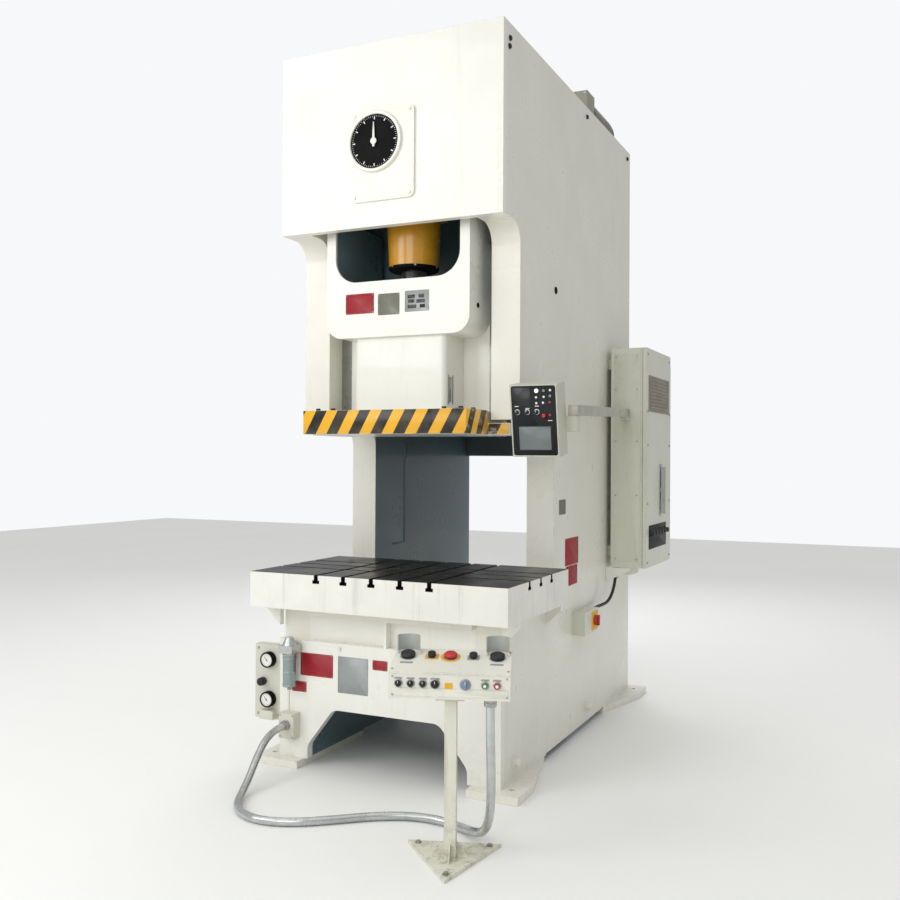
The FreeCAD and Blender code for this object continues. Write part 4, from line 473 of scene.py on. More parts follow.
def flat_shape(bm, where, outline, thick, ease=0.0):
    """A sheet cut to an outline, its upper edge eased inward a little."""
    levels = [0.0, thick - ease, thick] if ease else [0, thick]
    mid = [sum(p[k] for p in outline) / len(outline) for k in (0, 1)]
    reach = max(math.hypot(p[0] - mid[0], p[1] - mid[1]) for p in outline)
    rings = []
    for i, height in enumerate(levels):
        shrink = 1 - (ease / reach if ease and i == len(levels) - 1 else 0)
        rings.append([bm.verts.new(where @ Vector((mid[0] + (x - mid[0]) * shrink,
                                                   mid[1] + (y - mid[1]) * shrink, height)))
                      for x, y in outline])
    count = len(outline)
    for a, b in zip(rings, rings[1:]):
        for k in range(count):
            bm.faces.new((a[k], a[(k + 1) % count], b[(k + 1) % count], b[k]))
    bm.faces.new(rings[0])
    bm.faces.new(rings[-1])


# Screws and bolts: a head on a washer, at each point that is given, turned as its face is.
fasteners, start, end = new_group("fasteners", "GeometryNodeTree", [
    ("Geometry", "NodeSocketGeometry", None), ("Head Radius", "NodeSocketFloat", 0.008),
    ("Head Height", "NodeSocketFloat", 0.005), ("Sides", "NodeSocketInt", 6),
    ("Washer", "NodeSocketFloat", 1.3), ("Finish", "NodeSocketMaterial", None)],
    [("Geometry", "NodeSocketGeometry")])
head = put(fasteners, "GeometryNodeMeshCylinder", {
    "Vertices": start.outputs["Sides"], "Radius": start.outputs["Head Radius"],
    "Depth": start.outputs["Head Height"]})
head_at = put(fasteners, "ShaderNodeCombineXYZ", {
    "Z": maths(fasteners, "MULTIPLY", start.outputs["Head Height"], 0.7)})
washer = put(fasteners, "GeometryNodeMeshCylinder", {
    "Vertices": 20, "Radius": maths(fasteners, "MULTIPLY", start.outputs["Head Radius"],
                                    start.outputs["Washer"]),
    "Depth": maths(fasteners, "MULTIPLY", start.outputs["Head Height"], 0.4)})
one_screw = put(fasteners, "GeometryNodeJoinGeometry")
raised = put(fasteners, "GeometryNodeTransform", {"Geometry": head.outputs["Mesh"],
                                                  "Translation": head_at.outputs[0]})
for part in (washer.outputs["Mesh"], raised.outputs[0]):
    fasteners.links.new(part, one_screw.inputs[0])
turn = put(fasteners, "GeometryNodeInputNamedAttribute", {"Name": "turn"},
           data_type="FLOAT_VECTOR")
placed = put(fasteners, "GeometryNodeInstanceOnPoints", {
    "Points": start.outputs["Geometry"], "Instance": one_screw.outputs[0],
    "Rotation": turn.outputs["Attribute"]})
solid = put(fasteners, "GeometryNodeRealizeInstances", {0: placed.outputs[0]})
faced = put(fasteners, "GeometryNodeSetMaterial", {"Geometry": solid.outputs[0],
                                                   "Material": start.outputs["Finish"]})
fasteners.links.new(faced.outputs[0], end.inputs[0])


def grown(name, tree, data, settings, where, body):
    """Run a geometry tree on a seed mesh or curve and keep its result as a plain mesh."""
    seed = bpy.data.objects.new(name + "_seed", data)
    bpy.context.scene.collection.objects.link(seed)
    modifier = seed.modifiers.new("grow", "NODES")
    modifier.node_group = tree
    sockets = {item.name: item.identifier for item in tree.interface.items_tree
               if item.item_type == "SOCKET" and item.in_out == "INPUT"}
    for title, value in settings.items():
        modifier[sockets[title]] = value
    bpy.context.view_layer.update()
    mesh = bpy.data.meshes.new_from_object(
        seed.evaluated_get(bpy.context.evaluated_depsgraph_get()))
    bpy.data.objects.remove(seed)
    mesh.transform(where)
    mesh.name = name
    for attribute in [a.name for a in mesh.attributes if a.name == "turn"]:
        mesh.attributes.remove(mesh.attributes[attribute])
    thing = bpy.data.objects.new(name, mesh)
    bpy.context.scene.collection.objects.link(thing)
    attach(thing, body)
    return thing


def screwed(name, spots, body, finish, radius, height, sides=6, rim=1.3):
    """Screws at a list of places, as one piece on one body."""
    mesh = bpy.data.meshes.new(name)
    mesh.from_pydata([spot.translation[:] for spot in spots], [], [])
    turns = mesh.attributes.new("turn", "FLOAT_VECTOR", "POINT")
    for i, spot in enumerate(spots):
        turns.data[i].vector = spot.to_euler()[:]
    return grown(name, fasteners, mesh, {"Head Radius": radius, "Head Height": height,
                                         "Sides": sides, "Washer": rim, "Finish": finish},
                 Matrix.Identity(4), body)


# Bars set in a ring: dial marks, knurls, fins and fan grilles.
ring_of_bars, start, end = new_group("ring_of_bars", "GeometryNodeTree", [
    ("Geometry", "NodeSocketGeometry", None), ("Count", "NodeSocketInt", 12),
    ("Ring Radius", "NodeSocketFloat", 0.1), ("Length", "NodeSocketFloat", 0.01),
    ("Width", "NodeSocketFloat", 0.004), ("Height", "NodeSocketFloat", 0.001),
    ("Finish", "NodeSocketMaterial", None)], [("Geometry", "NodeSocketGeometry")])
circle = put(ring_of_bars, "GeometryNodeMeshCircle", {
    "Vertices": start.outputs["Count"], "Radius": start.outputs["Ring Radius"]})
size = put(ring_of_bars, "ShaderNodeCombineXYZ", {
    "X": start.outputs["Length"], "Y": start.outputs["Width"], "Z": start.outputs["Height"]})
bar = put(ring_of_bars, "GeometryNodeMeshCube", {"Size": size.outputs[0]})
outward = put(ring_of_bars, "FunctionNodeAlignRotationToVector", {
    "Vector": put(ring_of_bars, "GeometryNodeInputPosition").outputs[0]}, axis="X")
placed = put(ring_of_bars, "GeometryNodeInstanceOnPoints", {
    "Points": circle.outputs[0], "Instance": bar.outputs["Mesh"], "Rotation": outward.outputs[0]})
solid = put(ring_of_bars, "GeometryNodeRealizeInstances", {0: placed.outputs[0]})
faced = put(ring_of_bars, "GeometryNodeSetMaterial", {"Geometry": solid.outputs[0],
                                                      "Material": start.outputs["Finish"]})
ring_of_bars.links.new(faced.outputs[0], end.inputs[0])


def ring_marks(name, where, body, finish, count, radius, length, width, height):
    return grown(name, ring_of_bars, bpy.data.meshes.new(name), {
        "Count": count, "Ring Radius": radius, "Length": length, "Width": width,
        "Height": height, "Finish": finish}, where, body)


# A row of slats: louvres, cooling slots and ribs.
row_of_slats, start, end = new_group("row_of_slats", "GeometryNodeTree", [
    ("Geometry", "NodeSocketGeometry", None), ("Count", "NodeSocketInt", 8),
    ("Pitch", "NodeSocketFloat", 0.02), ("Width", "NodeSocketFloat", 0.1),
    ("Depth", "NodeSocketFloat", 0.012), ("Thickness", "NodeSocketFloat", 0.002),
    ("Tilt", "NodeSocketFloat", 0.6), ("Finish", "NodeSocketMaterial", None)],
    [("Geometry", "NodeSocketGeometry")])
half_run = maths(row_of_slats, "MULTIPLY", start.outputs["Pitch"],
                 maths(row_of_slats, "MULTIPLY",
                       maths(row_of_slats, "SUBTRACT", start.outputs["Count"], 1.0), -0.5))
first = put(row_of_slats, "ShaderNodeCombineXYZ", {"Y": half_run})
step = put(row_of_slats, "ShaderNodeCombineXYZ", {"Y": start.outputs["Pitch"]})
line = put(row_of_slats, "GeometryNodeMeshLine", {
    "Count": start.outputs["Count"], "Start Location": first.outputs[0],
    "Offset": step.outputs[0]})
size = put(row_of_slats, "ShaderNodeCombineXYZ", {
    "X": start.outputs["Width"], "Y": start.outputs["Depth"], "Z": start.outputs["Thickness"]})
slat = put(row_of_slats, "GeometryNodeMeshCube", {"Size": size.outputs[0]})
lean = put(row_of_slats, "ShaderNodeCombineXYZ", {"X": start.outputs["Tilt"]})
placed = put(row_of_slats, "GeometryNodeInstanceOnPoints", {
    "Points": line.outputs[0], "Instance": slat.outputs["Mesh"], "Rotation": lean.outputs[0]})
solid = put(row_of_slats, "GeometryNodeRealizeInstances", {0: placed.outputs[0]})
faced = put(row_of_slats, "GeometryNodeSetMaterial", {"Geometry": solid.outputs[0],
                                                      "Material": start.outputs["Finish"]})
row_of_slats.links.new(faced.outputs[0], end.inputs[0])


def slats(name, where, body, finish, count, pitch, width, depth, thick, tilt):
    return grown(name, row_of_slats, bpy.data.meshes.new(name), {
        "Count": count, "Pitch": pitch, "Width": width, "Depth": depth, "Thickness": thick,
        "Tilt": tilt, "Finish": finish}, where, body)


zinc = finish_of("zinc_screw", "B9BBB8", "8F918E", metal=0.9, gloss=0.32, patches=40, peel=500,
                 dirt_amount=0.4)
black_oxide = finish_of("black_oxide_screw", "24262A", "35373B", metal=0.6, gloss=0.42, patches=40)
dial_black = finish_of("dial_black", "060607", "0B0B0D", gloss=0.55, patches=8, dirt_amount=0.1,
                       wear_amount=0.2)
mark_white = finish_of("mark_white", "EDEDE6", "DCDCD2", gloss=0.4, patches=30, dirt_amount=0.1,
                       wear_amount=0.0)
dial_black.node_tree.nodes["Principled BSDF"].inputs["Specular IOR Level"].default_value = 0.12
dial_cover = finish_of("dial_cover", "EAE9DE", "E0DED0", **enamel)
wear_finish(dial_cover, "dial_cover_plate")
DIAL = facing(-0.058, -0.304, 3.019)
bm = bmesh.new()
turned_shape(bm, DIAL, [(0.0, 0.0002), (0.1285, 0.0002), (0.1285, 0.0010), (0.0, 0.0010)], 72)
show("dial_face", bm, "frame", dial_black)
# The dial's ring takes the whiter front copy of the cream: painted light.
bm = bmesh.new()
ring_shape(bm, DIAL, [(0.1293, 0.0), (0.1293, 0.0072), (0.1335, 0.0098), (0.1425, 0.0088),
                      (0.1452, 0.004), (0.1452, -0.0055)], 96)
show("dial_ring", bm, "frame", front_enamel_painted_lit)
ring_marks("dial_hour_marks", DIAL @ shifted(z=0.0013), "frame", mark_white,
           12, 0.1105, 0.012, 0.0050, 0.0008)
ring_marks("dial_fine_marks", DIAL @ shifted(z=0.0012), "frame", mark_white,
           72, 0.1195, 0.006, 0.0014, 0.0006)
HAND = facing(-0.058, -0.311, 3.019)
bm = bmesh.new()
flat_shape(bm, HAND, [(-0.006, -0.026), (0.006, -0.026), (0.0052, 0.03), (0.0018, 0.0915),
                      (-0.0018, 0.0915), (-0.0052, 0.03)], 0.004, 0.0008)
turned_shape(bm, HAND, [(0.016, 0.0), (0.016, 0.0048), (0.012, 0.0066), (0, 0.0068)], 40)
hand = show("dial_hand", bm, "pointer", mark_white)
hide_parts("dial_pointer")
screwed("dial_cover_screws", [facing(x, -0.298, z) for x in (-0.170, 0.127)
                              for z in (2.760, 3.153)],
        "frame", front_enamel_painted_lit, 0.0075, 0.0045, 16, 1.25)

# ---------------------------------------------------------------- frame fittings
# Side plates carry plugs, eye-bolt holes, a boss for the lifting bar and a few bare plates.
# Feet are welded on along their whole length, so a bead runs where they meet the side plates.
weld_bead, start, end = new_group("weld_bead", "GeometryNodeTree", [
    ("Geometry", "NodeSocketGeometry", None), ("Bead Radius", "NodeSocketFloat", 0.006),
    ("Ripple", "NodeSocketFloat", 0.0012), ("Seed", "NodeSocketFloat", 3.0),
    ("Finish", "NodeSocketMaterial", None)], [("Geometry", "NodeSocketGeometry")])
steps_along = put(weld_bead, "GeometryNodeResampleCurve", {
    "Curve": start.outputs["Geometry"], "Length": 0.006}, mode="LENGTH")
bead_section = put(weld_bead, "GeometryNodeCurvePrimitiveCircle", {
    "Resolution": 8, "Radius": start.outputs["Bead Radius"]})
bead = put(weld_bead, "GeometryNodeCurveToMesh", {
    "Curve": steps_along.outputs[0], "Profile Curve": bead_section.outputs[0], "Fill Caps": True})
ripple = put(weld_bead, "ShaderNodeTexNoise", {"Scale": 95.0, "Detail": 2.0,
                                               "W": start.outputs["Seed"]},
             noise_dimensions="4D")
swell = put(weld_bead, "ShaderNodeVectorMath", {
    0: put(weld_bead, "GeometryNodeInputNormal").outputs[0],
    "Scale": maths(weld_bead, "MULTIPLY", ripple.outputs["Fac"], start.outputs["Ripple"])},
    operation="SCALE")
rippled = put(weld_bead, "GeometryNodeSetPosition", {"Geometry": bead.outputs[0],
                                                     "Offset": swell.outputs[0]})
solid = put(weld_bead, "GeometryNodeRealizeInstances", {0: rippled.outputs[0]})
faced = put(weld_bead, "GeometryNodeSetMaterial", {"Geometry": solid.outputs[0],
                                                   "Material": start.outputs["Finish"]})
weld_bead.links.new(faced.outputs[0], end.inputs[0])


def welded(name, runs, body, finish, radius):
    """Weld beads along straight runs, each a list of points, as one piece."""
    data = bpy.data.curves.new(name, "CURVE")
    data.dimensions = "3D"
    for run in runs:
        line = data.splines.new("POLY")
        line.points.add(len(run) - 1)
        for point, place in zip(line.points, run):
            point.co = (*place, 1)
    made = grown(name, weld_bead, data, {"Bead Radius": radius, "Finish": finish},
                 Matrix.Identity(4), body)
    for face in made.data.polygons:
        face.use_smooth = True
    return made


beads = []
for side in (-1, 1):
    x = side * 0.5955
    beads += [[(x, -0.270, 0.0365), (x, 0.300, 0.0365)], [(x, 1.32, 0.0365), (x, 1.885, 0.0365)]]
    beads.append([(side * 0.541, -0.2805, 0.62), (side * 0.541, -0.2805, 0.13)])
    beads.append([(side * 0.4505, 0.62, 1.02), (side * 0.4505, 0.7595, 1.02),
                  (side * 0.4505, 0.7595, 1.60)])
welded("frame_welds", beads, "frame", frame_enamel, 0.0055)
plugs = bmesh.new()
turned_shape(plugs, facing(0.595, 0.436, 2.382, "right"),
             [(0.019, 0.0), (0.019, 0.003), (0.016, 0.005), (0, 0.005)])
turned_shape(plugs, facing(-0.595, 0.436, 2.382, "left"),
             [(0.019, 0.0), (0.019, 0.003), (0.016, 0.005), (0, 0.005)])
show("side_plugs", plugs, "frame", dial_black)
screwed("crown_side_bolts", [facing(side * 0.595, y, z, way) for side, way in
                             ((1, "right"), (-1, "left"))
                             for y, z in ((-0.212, 3.429), (-0.218, 3.390), (0.959, 3.444),
                                          (1.822, 3.449))],
        "frame", black_oxide, 0.011, 0.007, 6, 1.25)
boss = bmesh.new()
for side, way in ((1, "right"), (-1, "left")):
    for y in (0.988, -0.12):
        turned_shape(boss, facing(side * 0.595, y, 0.120, way),
                     [(0.030, 0.0), (0.030, 0.004), (0.022, 0.010), (0.022, 0.030),
                      (0.018, 0.034), (0.0, 0.034)])
show("lifting_bosses", boss, "frame", frame_enamel)
screwed("rear_cover_screws", [facing(x, 1.894, z, "back") for x in (-0.47, -0.16, 0.16, 0.47)
                              for z in (1.60, 2.05, 2.50, 2.95, 3.40)],
        "frame", black_oxide, 0.010, 0.006, 6, 1.4)

red_enamel = finish_of("red_enamel", "A01824", "8A121C", dirt="4A1A1A", gloss=0.38, patches=12,
                       dirt_amount=0.3, wear="D8CFC4", wear_width=0.0015)
plate_grey = finish_of("etched_plate", "A4A8A8", "8F9494", metal=0.35, gloss=0.42, patches=18,
                       dirt_amount=0.3)
plate_olive = finish_of("olive_plate", "7C7E70", "6B6D60", metal=0.25, gloss=0.45, patches=18)
plate_black = finish_of("black_plate", "17181B", "25262A", metal=0.2, gloss=0.4, patches=20)


def bare_plate(name, where, wide, tall, body, finish, thick=0.0012, rivets=0.0022):
    """A thin plate with eased corners, a pressed rim and a rivet at each corner."""
    bm = bmesh.new()
    flat_shape(bm, where, rounded_outline(wide, tall, 0.004), thick, 0.0004)
    rim = 0.0035
    for x, y, w, h in ((0, tall / 2 - rim, wide - 2 * rim, 0.0012),
                       (0, rim - tall / 2, wide - 2 * rim, 0.0012),
                       (wide / 2 - rim, 0, 0.0012, tall - 2 * rim),
                       (rim - wide / 2, 0, 0.0012, tall - 2 * rim)):
        soft_block(bm, where @ shifted(x, y, thick), (w, h, 0.0004), 0.0001, 1)
    show(name, bm, body, finish)
    if rivets:
        spots = [where @ shifted(sx * (wide / 2 - 2.6 * rivets), sy * (tall / 2 - 2.6 * rivets),
                                 thick) for sx in (-1, 1) for sy in (-1, 1)]
        screwed(name + "_rivets", spots, body, zinc, rivets, 0.0012, 12, 1.0)


bare_plate("side_red_plate_high", facing(0.595, 0.717, 1.0175, "right"), 0.226, 0.146, "frame",
           red_enamel)
bare_plate("side_red_plate_low", facing(0.595, 0.717, 0.888, "right"), 0.191, 0.106, "frame",
           red_enamel)
bare_plate("side_olive_plate", facing(0.595, 0.556, 1.262, "right"), 0.107, 0.078, "frame",
           plate_olive)

# ---------------------------------------------------------------- slide
# The slide is one casting: a yoke for the rod's ball, a waist, and a flange for the tool.
# The flange wears yellow and black tape, scuffed at its right end, and the yoke has bare plates.
slide_enamel = finish_of("slide_enamel", "EDECE2", "E4E2D4", regions=(
    ((-0.342, -0.176, 2.383), (0.342, 0.279, 2.699), INSIDE_TONE),), **{**enamel, "coat": 0.4})
wear_finish(slide_enamel, "slide_casting")
guide_steel = finish_of("ground_guide", "9A9B98", "7C7D7A", metal=1.0, gloss=0.26, patches=7,
                        peel=420, dirt="3C342A", dirt_amount=0.5)
wear_finish(guide_steel, "slide_gibs", "knockout_bar")

tape = bpy.data.materials.new("hazard_tape")
tape.use_nodes = True
tree = tape.node_tree
spot = put(tree, "ShaderNodeTexCoord").outputs["Object"]
axes = put(tree, "ShaderNodeSeparateXYZ", {0: spot})
STRIPE_PERIOD, STRIPE_LEAN, STRIPE_START = 0.1215, 0.56, 0.022
along = maths(tree, "SUBTRACT", maths(tree, "ADD", axes.outputs[0], axes.outputs[1]),
              maths(tree, "MULTIPLY", axes.outputs[2], STRIPE_LEAN))
phase = maths(tree, "FRACT", maths(tree, "DIVIDE", maths(tree, "ADD", along, STRIPE_START),
                                   STRIPE_PERIOD))
is_black = maths(tree, "GREATER_THAN", phase, 0.5)
stripes = blend_tone(tree, is_black, linear("F2B31C"), linear("121212"))
right_end = maths(tree, "GREATER_THAN", axes.outputs[0], 0.4362)
scuffs = spread(tree, noise(tree, spot, 34.0, 7.0, 0.75),
                maths(tree, "SUBTRACT", 0.66, maths(tree, "MULTIPLY", right_end, 0.14)), 0.72)
dusted = spread(tree, noise(tree, spot, 9.0, 5.0, 0.6), 0.4, 0.8, 0.0, 0.22)
worn_tape = blend_tone(tree, scuffs, stripes, linear("D9D4C2"))
shader = tree.nodes["Principled BSDF"]
tree.links.new(blend_tone(tree, dusted, worn_tape, linear("A79A72")), shader.inputs["Base Color"])
tree.links.new(spread(tree, scuffs, 0.0, 1.0, 0.34, 0.7), shader.inputs["Roughness"])
tape_relief = put(tree, "ShaderNodeBump", {"Height": noise(tree, spot, 60.0, 3.0), "Strength": 0.3,
                                           "Distance": 0.0006})
tree.links.new(tape_relief.outputs[0], shader.inputs["Normal"])
bm = bmesh.new()
soft_block(bm, facing(0, -0.324, 1.6865), (0.872, 0.113, 0.0007), 0.0002, 1)
soft_block(bm, facing(0.436, -0.199, 1.6865, "right"), (0.249, 0.113, 0.0007), 0.0002, 1)
soft_block(bm, facing(-0.436, -0.199, 1.6865, "left"), (0.249, 0.113, 0.0007), 0.0002, 1)
for side in (-1, 1):
    x = side * 0.4905
    soft_block(bm, facing(x, -0.0724, 1.6565), (0.105, 0.050, 0.0006), 0.0002, 1)
show("hazard_tape", bm, "slide", tape)
bare_plate("slide_red_plate", facing(-0.200, -0.190, 2.2715), 0.160, 0.099, "slide",
           red_enamel)
bare_plate("slide_olive_plate", facing(-0.0385, -0.190, 2.261), 0.119, 0.104, "slide",
           plate_olive)
bare_plate("slide_chart_plate", facing(0.115, -0.190, 2.2675), 0.130, 0.101, "slide",
           plate_grey)
bm = bmesh.new()
for column, row, wide in ((-0.030, 0.022, 0.040), (0.024, 0.022, 0.030), (-0.030, 0.000, 0.034),
                          (0.020, -0.002, 0.046), (-0.026, -0.026, 0.046), (0.030, -0.026, 0.028)):
    soft_block(bm, facing(0.115 + column, -0.1912, 2.2675 + row), (wide, 0.017, 0.0004), 0.0001, 1)
show("slide_chart_blocks", bm, "slide", plate_black)
bm = bmesh.new()
turned_shape(bm, facing(0.390, -0.093, 2.242, "right"),
             [(0.013, 0), (0.013, 0.002), (0.010, 0.004), (0, 0.004)], 24)
turned_shape(bm, facing(-0.390, -0.093, 2.242, "left"),
             [(0.013, 0), (0.013, 0.002), (0.010, 0.004), (0, 0.004)], 24)
show("yoke_plugs", bm, "slide", dial_black)
bm = bmesh.new()
for side, way in ((1, "right"), (-1, "left")):
    for dy in (-0.0235, 0.0235):
        soft_block(bm, facing(side * 0.25, -0.095 + dy, 1.845, way), (0.009, 0.142, 0.003), 0.001)
show("bar_guides", bm, "slide", guide_steel)
screwed("flange_bolts", [facing(side * x, y, 1.744, "up") for side in (-1, 1)
                         for x in (0.30, 0.385) for y in (-0.27, -0.13)],
        "slide", black_oxide, 0.012, 0.010, 6, 1.35)

# ---------------------------------------------------------------- connecting rod and its screw
# The rod's tube is cast and painted ochre. A black locking collar closes it round the ground
# and threaded adjusting screw, whose ball sits in the slide.
rod_paint = finish_of("rod_ochre", "D39A24", "B9801A", dirt="4A3512", gloss=0.2, patches=6,
                      patch_amount=0.6, dirt_amount=0.5, coat=0.5, wear="6A4C18")
wear_finish(rod_paint, "connecting_rod")
wear_finish(guide_steel, "adjusting_screw", "crankshaft", "pinion_shaft")
gear_iron = finish_of("oiled_iron", "4A4B4C", "37383A", metal=0.8, gloss=0.38, patches=9,
                      dirt="1C1812", dirt_amount=0.5)
wear_finish(gear_iron, "main_gear", "flywheel", "motor_pulley")
bm = bmesh.new()
ring_shape(bm, facing(0, 0, 2.4445, "up"), [(0.0645, 0), (0.112, 0), (0.1225, 0.006),
                                            (0.1255, 0.012), (0.1255, 0.0195),
                                            (0.0645, 0.0195)], 64)
show("locking_collar", bm, "rod", dial_black)
screwed("collar_screws", [facing(0.1255 * math.cos(a), 0.1255 * math.sin(a), 2.4595)
                          @ Matrix.Rotation(a + math.pi / 2, 4, "Y") for a in
                          (math.tau * k / 6 for k in range(6))],
        "rod", zinc, 0.004, 0.003, 6, 1.2)
bm = bmesh.new()
THREAD_PITCH = 0.006
profile = [(0.0603, 0.0)]
for k in range(9):
    foot = 0.002 + k * THREAD_PITCH
    profile += [(0.0603, foot), (0.0635, foot + THREAD_PITCH / 2), (0.0603, foot + THREAD_PITCH)]
ring_shape(bm, facing(0, 0, 2.386, "up"), profile + [(0.0603, 0.058)], 64)
show("screw_thread", bm, "rod", guide_steel)

# ---------------------------------------------------------------- bolster and bed
# The bolster is a planed steel slab: its top and slots are dark with oil, its sides are painted.
# The bed's front plate is cut away as an arch below and carries bare plates.
bolster_finish = finish_of("planed_bolster", "34302C", "4A443D", metal=0.55, gloss=0.3,
                           dirt="17130F", patches=5, patch_amount=0.7, dirt_amount=0.5,
                           peel=220, wear="8F8C86", wear_amount=0.7,
                           regions=(((-0.70, -0.42, 0.780), (0.70, 0.42, 0.9573), "EEEDE4"),
                                    ((-0.6793, -0.4133, 0.90), (0.6793, 0.4042, 0.9580), "26221F")))
tree = bolster_finish.node_tree
shader = tree.nodes["Principled BSDF"]
height = put(tree, "ShaderNodeSeparateXYZ", {
    0: put(tree, "ShaderNodeTexCoord").outputs["Object"]}).outputs[2]
tree.links.new(maths(tree, "MULTIPLY", maths(tree, "GREATER_THAN", height, 0.9573), 0.45),
               shader.inputs["Metallic"])
wear_finish(bolster_finish, "bolster")
# The bed's front plate and its brackets take the whiter front copy of the cream: painted light.
wear_finish(front_enamel_painted_lit, "bed_front_plate", "bolster_brackets")
wear_finish(frame_enamel, "bed_table_plate")
screwed("bracket_bolts", [facing(x, -0.2805, 0.590) for x in (-0.50, -0.25, 0.25, 0.50)],
        "frame", front_enamel_painted_lit, 0.009, 0.006, 6, 1.35)
for title, x, z, wide, tall, finish, slot in (
        ("bed_red_plate", -0.379, 0.500, 0.188, 0.112, red_enamel, "red_plastic"),
        ("bed_grey_plate", -0.173, 0.468, 0.168, 0.176, plate_grey, "grey_paint"),
        ("bed_red_tag_low", -0.480, 0.387, 0.086, 0.052, red_enamel, "red_plastic"),
        ("bed_red_tag_high", -0.0245, 0.5315, 0.081, 0.047, red_enamel, "red_plastic")):
    bare_plate(title, facing(x, -0.280, z), wide, tall, "frame", finish)

# ---------------------------------------------------------------- air panel, oiler and junction box
# Shop air comes in on the left: two gauges and a regulator on a painted plate, then a filter
# and an oiler with a clear bowl. The junction box beside them takes the console's conduit.
panel_enamel = finish_of("panel_enamel", "D6D5C6", "C6C5B4", dirt="7C7864", gloss=0.32,
                         dirt_amount=0.4, wear_amount=0.7)
wear_finish(panel_enamel, "air_panel", "junction_box")
for title, height in (("gauge_upper", 0.500), ("gauge_lower", 0.302)):
    FACE = facing(-0.668, -0.292, height)
    bm = bmesh.new()
    ring_shape(bm, FACE, [(0.0315, -0.002), (0.0315, 0.0022), (0.0335, 0.0046), (0.0375, 0.004),
                          (0.0392, 0.0), (0.0392, -0.028), (0.0382, -0.028), (0.0382, -0.002)], 56)
    show(title + "_ring", bm, "frame", dial_black)
    bm = bmesh.new()
    turned_shape(bm, FACE, [(0.0314, 0.0002), (0.0314, 0.0010), (0, 0.0010)], 48)
    show(title + "_face", bm, "frame", mark_white)
    ring_marks(title + "_marks", FACE @ shifted(z=0.0012), "frame", dial_black,
               30, 0.0268, 0.0042, 0.0009, 0.0004)
    bm = bmesh.new()
    NEEDLE = FACE @ shifted(z=0.0016) @ Matrix.Rotation(math.radians(38), 4, "Z")
    flat_shape(bm, NEEDLE, [(-0.0012, -0.008), (0.0012, -0.008), (0.0004, 0.023),
                            (-0.0004, 0.023)], 0.0007)
    turned_shape(bm, NEEDLE, [(0.0034, 0), (0.0034, 0.0012), (0, 0.0014)], 20)
    show(title + "_needle", bm, "frame", dial_black)
black_moulding = finish_of("black_moulding", "161719", "242528", gloss=0.42, patches=26, peel=700,
                           dirt="5A564A", dirt_amount=0.35, wear="4A4B4D", wear_width=0.0012)
KNOB = facing(-0.704, -0.267, 0.388)
bm = bmesh.new()
turned_shape(bm, KNOB, [(0.0072, -0.004), (0.0072, 0.0), (0.0195, 0.001), (0.0195, 0.030),
                        (0.0170, 0.0335), (0.0, 0.0340)], 40)
turned = show("regulator_grip", bm, "regulator", black_moulding)
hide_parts("regulator_knob")
ring_marks("regulator_knurl", KNOB @ shifted(z=0.016), "regulator",
           black_moulding, 30, 0.0193, 0.0014, 0.0018, 0.024)
screwed("air_panel_screws", [facing(x, -0.262, z) for x in (-0.738, -0.615)
                             for z in (0.222, 0.552)],
        "frame", zinc, 0.0055, 0.0035, 14, 1.3)
bowl_finish = finish_of("oiler_metal", "8FA0A0", "7C8E90", metal=0.5, gloss=0.24, patches=12,
                        dirt="3B3B34", dirt_amount=0.4, coat=0.3, regions=(
                            ((-0.56, -0.40, 0.559), (-0.44, -0.27, 0.70), "B9BDBB"),))
wear_finish(bowl_finish, "air_oiler")
bm = bmesh.new()
for level, radius in ((0.404, 0.0335), (0.470, 0.0328), (0.535, 0.0338), (0.552, 0.0338)):
    ring_shape(bm, facing(-0.503, -0.332, level, "up"),
               [(0.0316, -0.003), (radius, -0.003), (radius + 0.0008, 0), (radius, 0.003),
                (0.0316, 0.003)], 40)
show("oiler_bands", bm, "frame", zinc)
bm = bmesh.new()
flat_shape(bm, facing(-0.519, -0.332, 0.199), rounded_outline(0.086, 0.120, 0.005), 0.0025, 0.0008)
show("junction_lid", bm, "frame", panel_enamel)
screwed("junction_screws", [facing(-0.519 + sx * 0.035, -0.3345, 0.199 + sz * 0.052)
                            for sx in (-1, 1) for sz in (-1, 1)],
        "frame", zinc, 0.0036, 0.0022, 14, 1.0)


def gland(bm, where, bore, across):
    """A conduit gland: a hexagon nut, a sleeve and a lip round the conduit."""
    ring_shape(bm, where, [(bore, 0), (across, 0), (across, 0.012), (across * 0.94, 0.014),
                           (bore, 0.014)], 6)
    ring_shape(bm, where @ shifted(z=0.014), [(bore, 0), (across * 0.9, 0), (across * 0.9, 0.012),
                                              (across * 0.82, 0.016), (bore, 0.016)], 36)


bm = bmesh.new()
gland(bm, facing(-0.519, -0.3345, 0.205), 0.0180, 0.0255)
gland(bm, facing(0.827, -0.954, 0.6228, "down"), 0.0180, 0.0270)
gland(bm, facing(0.650, 1.400, 0.8278, "down"), 0.0093, 0.0160)
show("conduit_glands", bm, "frame", zinc)

# ---------------------------------------------------------------- two-hand console
# A bent and welded steel box with a sloping lid stands on a square post. Two palm buttons under
# curved guards start a stroke; between them are a stop button and two small push buttons.
console_enamel = finish_of("console_enamel", "E4E3D6", "D6D4C4", dirt="7E7862", gloss=0.3,
                           dirt_amount=0.3, wear_amount=0.8, coat=0.2,
                           regions=(((0.2, -1.4, 0.7742), (1.2, -0.5, 0.90), "A9ADA6"),))
wear_finish(console_enamel, "console_housing")
post_enamel = finish_of("post_enamel", "DEDDCC", "CFCDBA", dirt="6E6A58", gloss=0.34,
                        dirt_amount=0.8, wear_amount=1.0)
wear_finish(post_enamel, "console_stand")
CONSOLE = shifted(0.675, -0.975) @ Matrix.Rotation(math.radians(19.08), 4, "Z")
SLOPE = math.atan2(0.051, 0.180)
LID_SPOT = 0.722 + 0.120 * 0.051 / 0.180


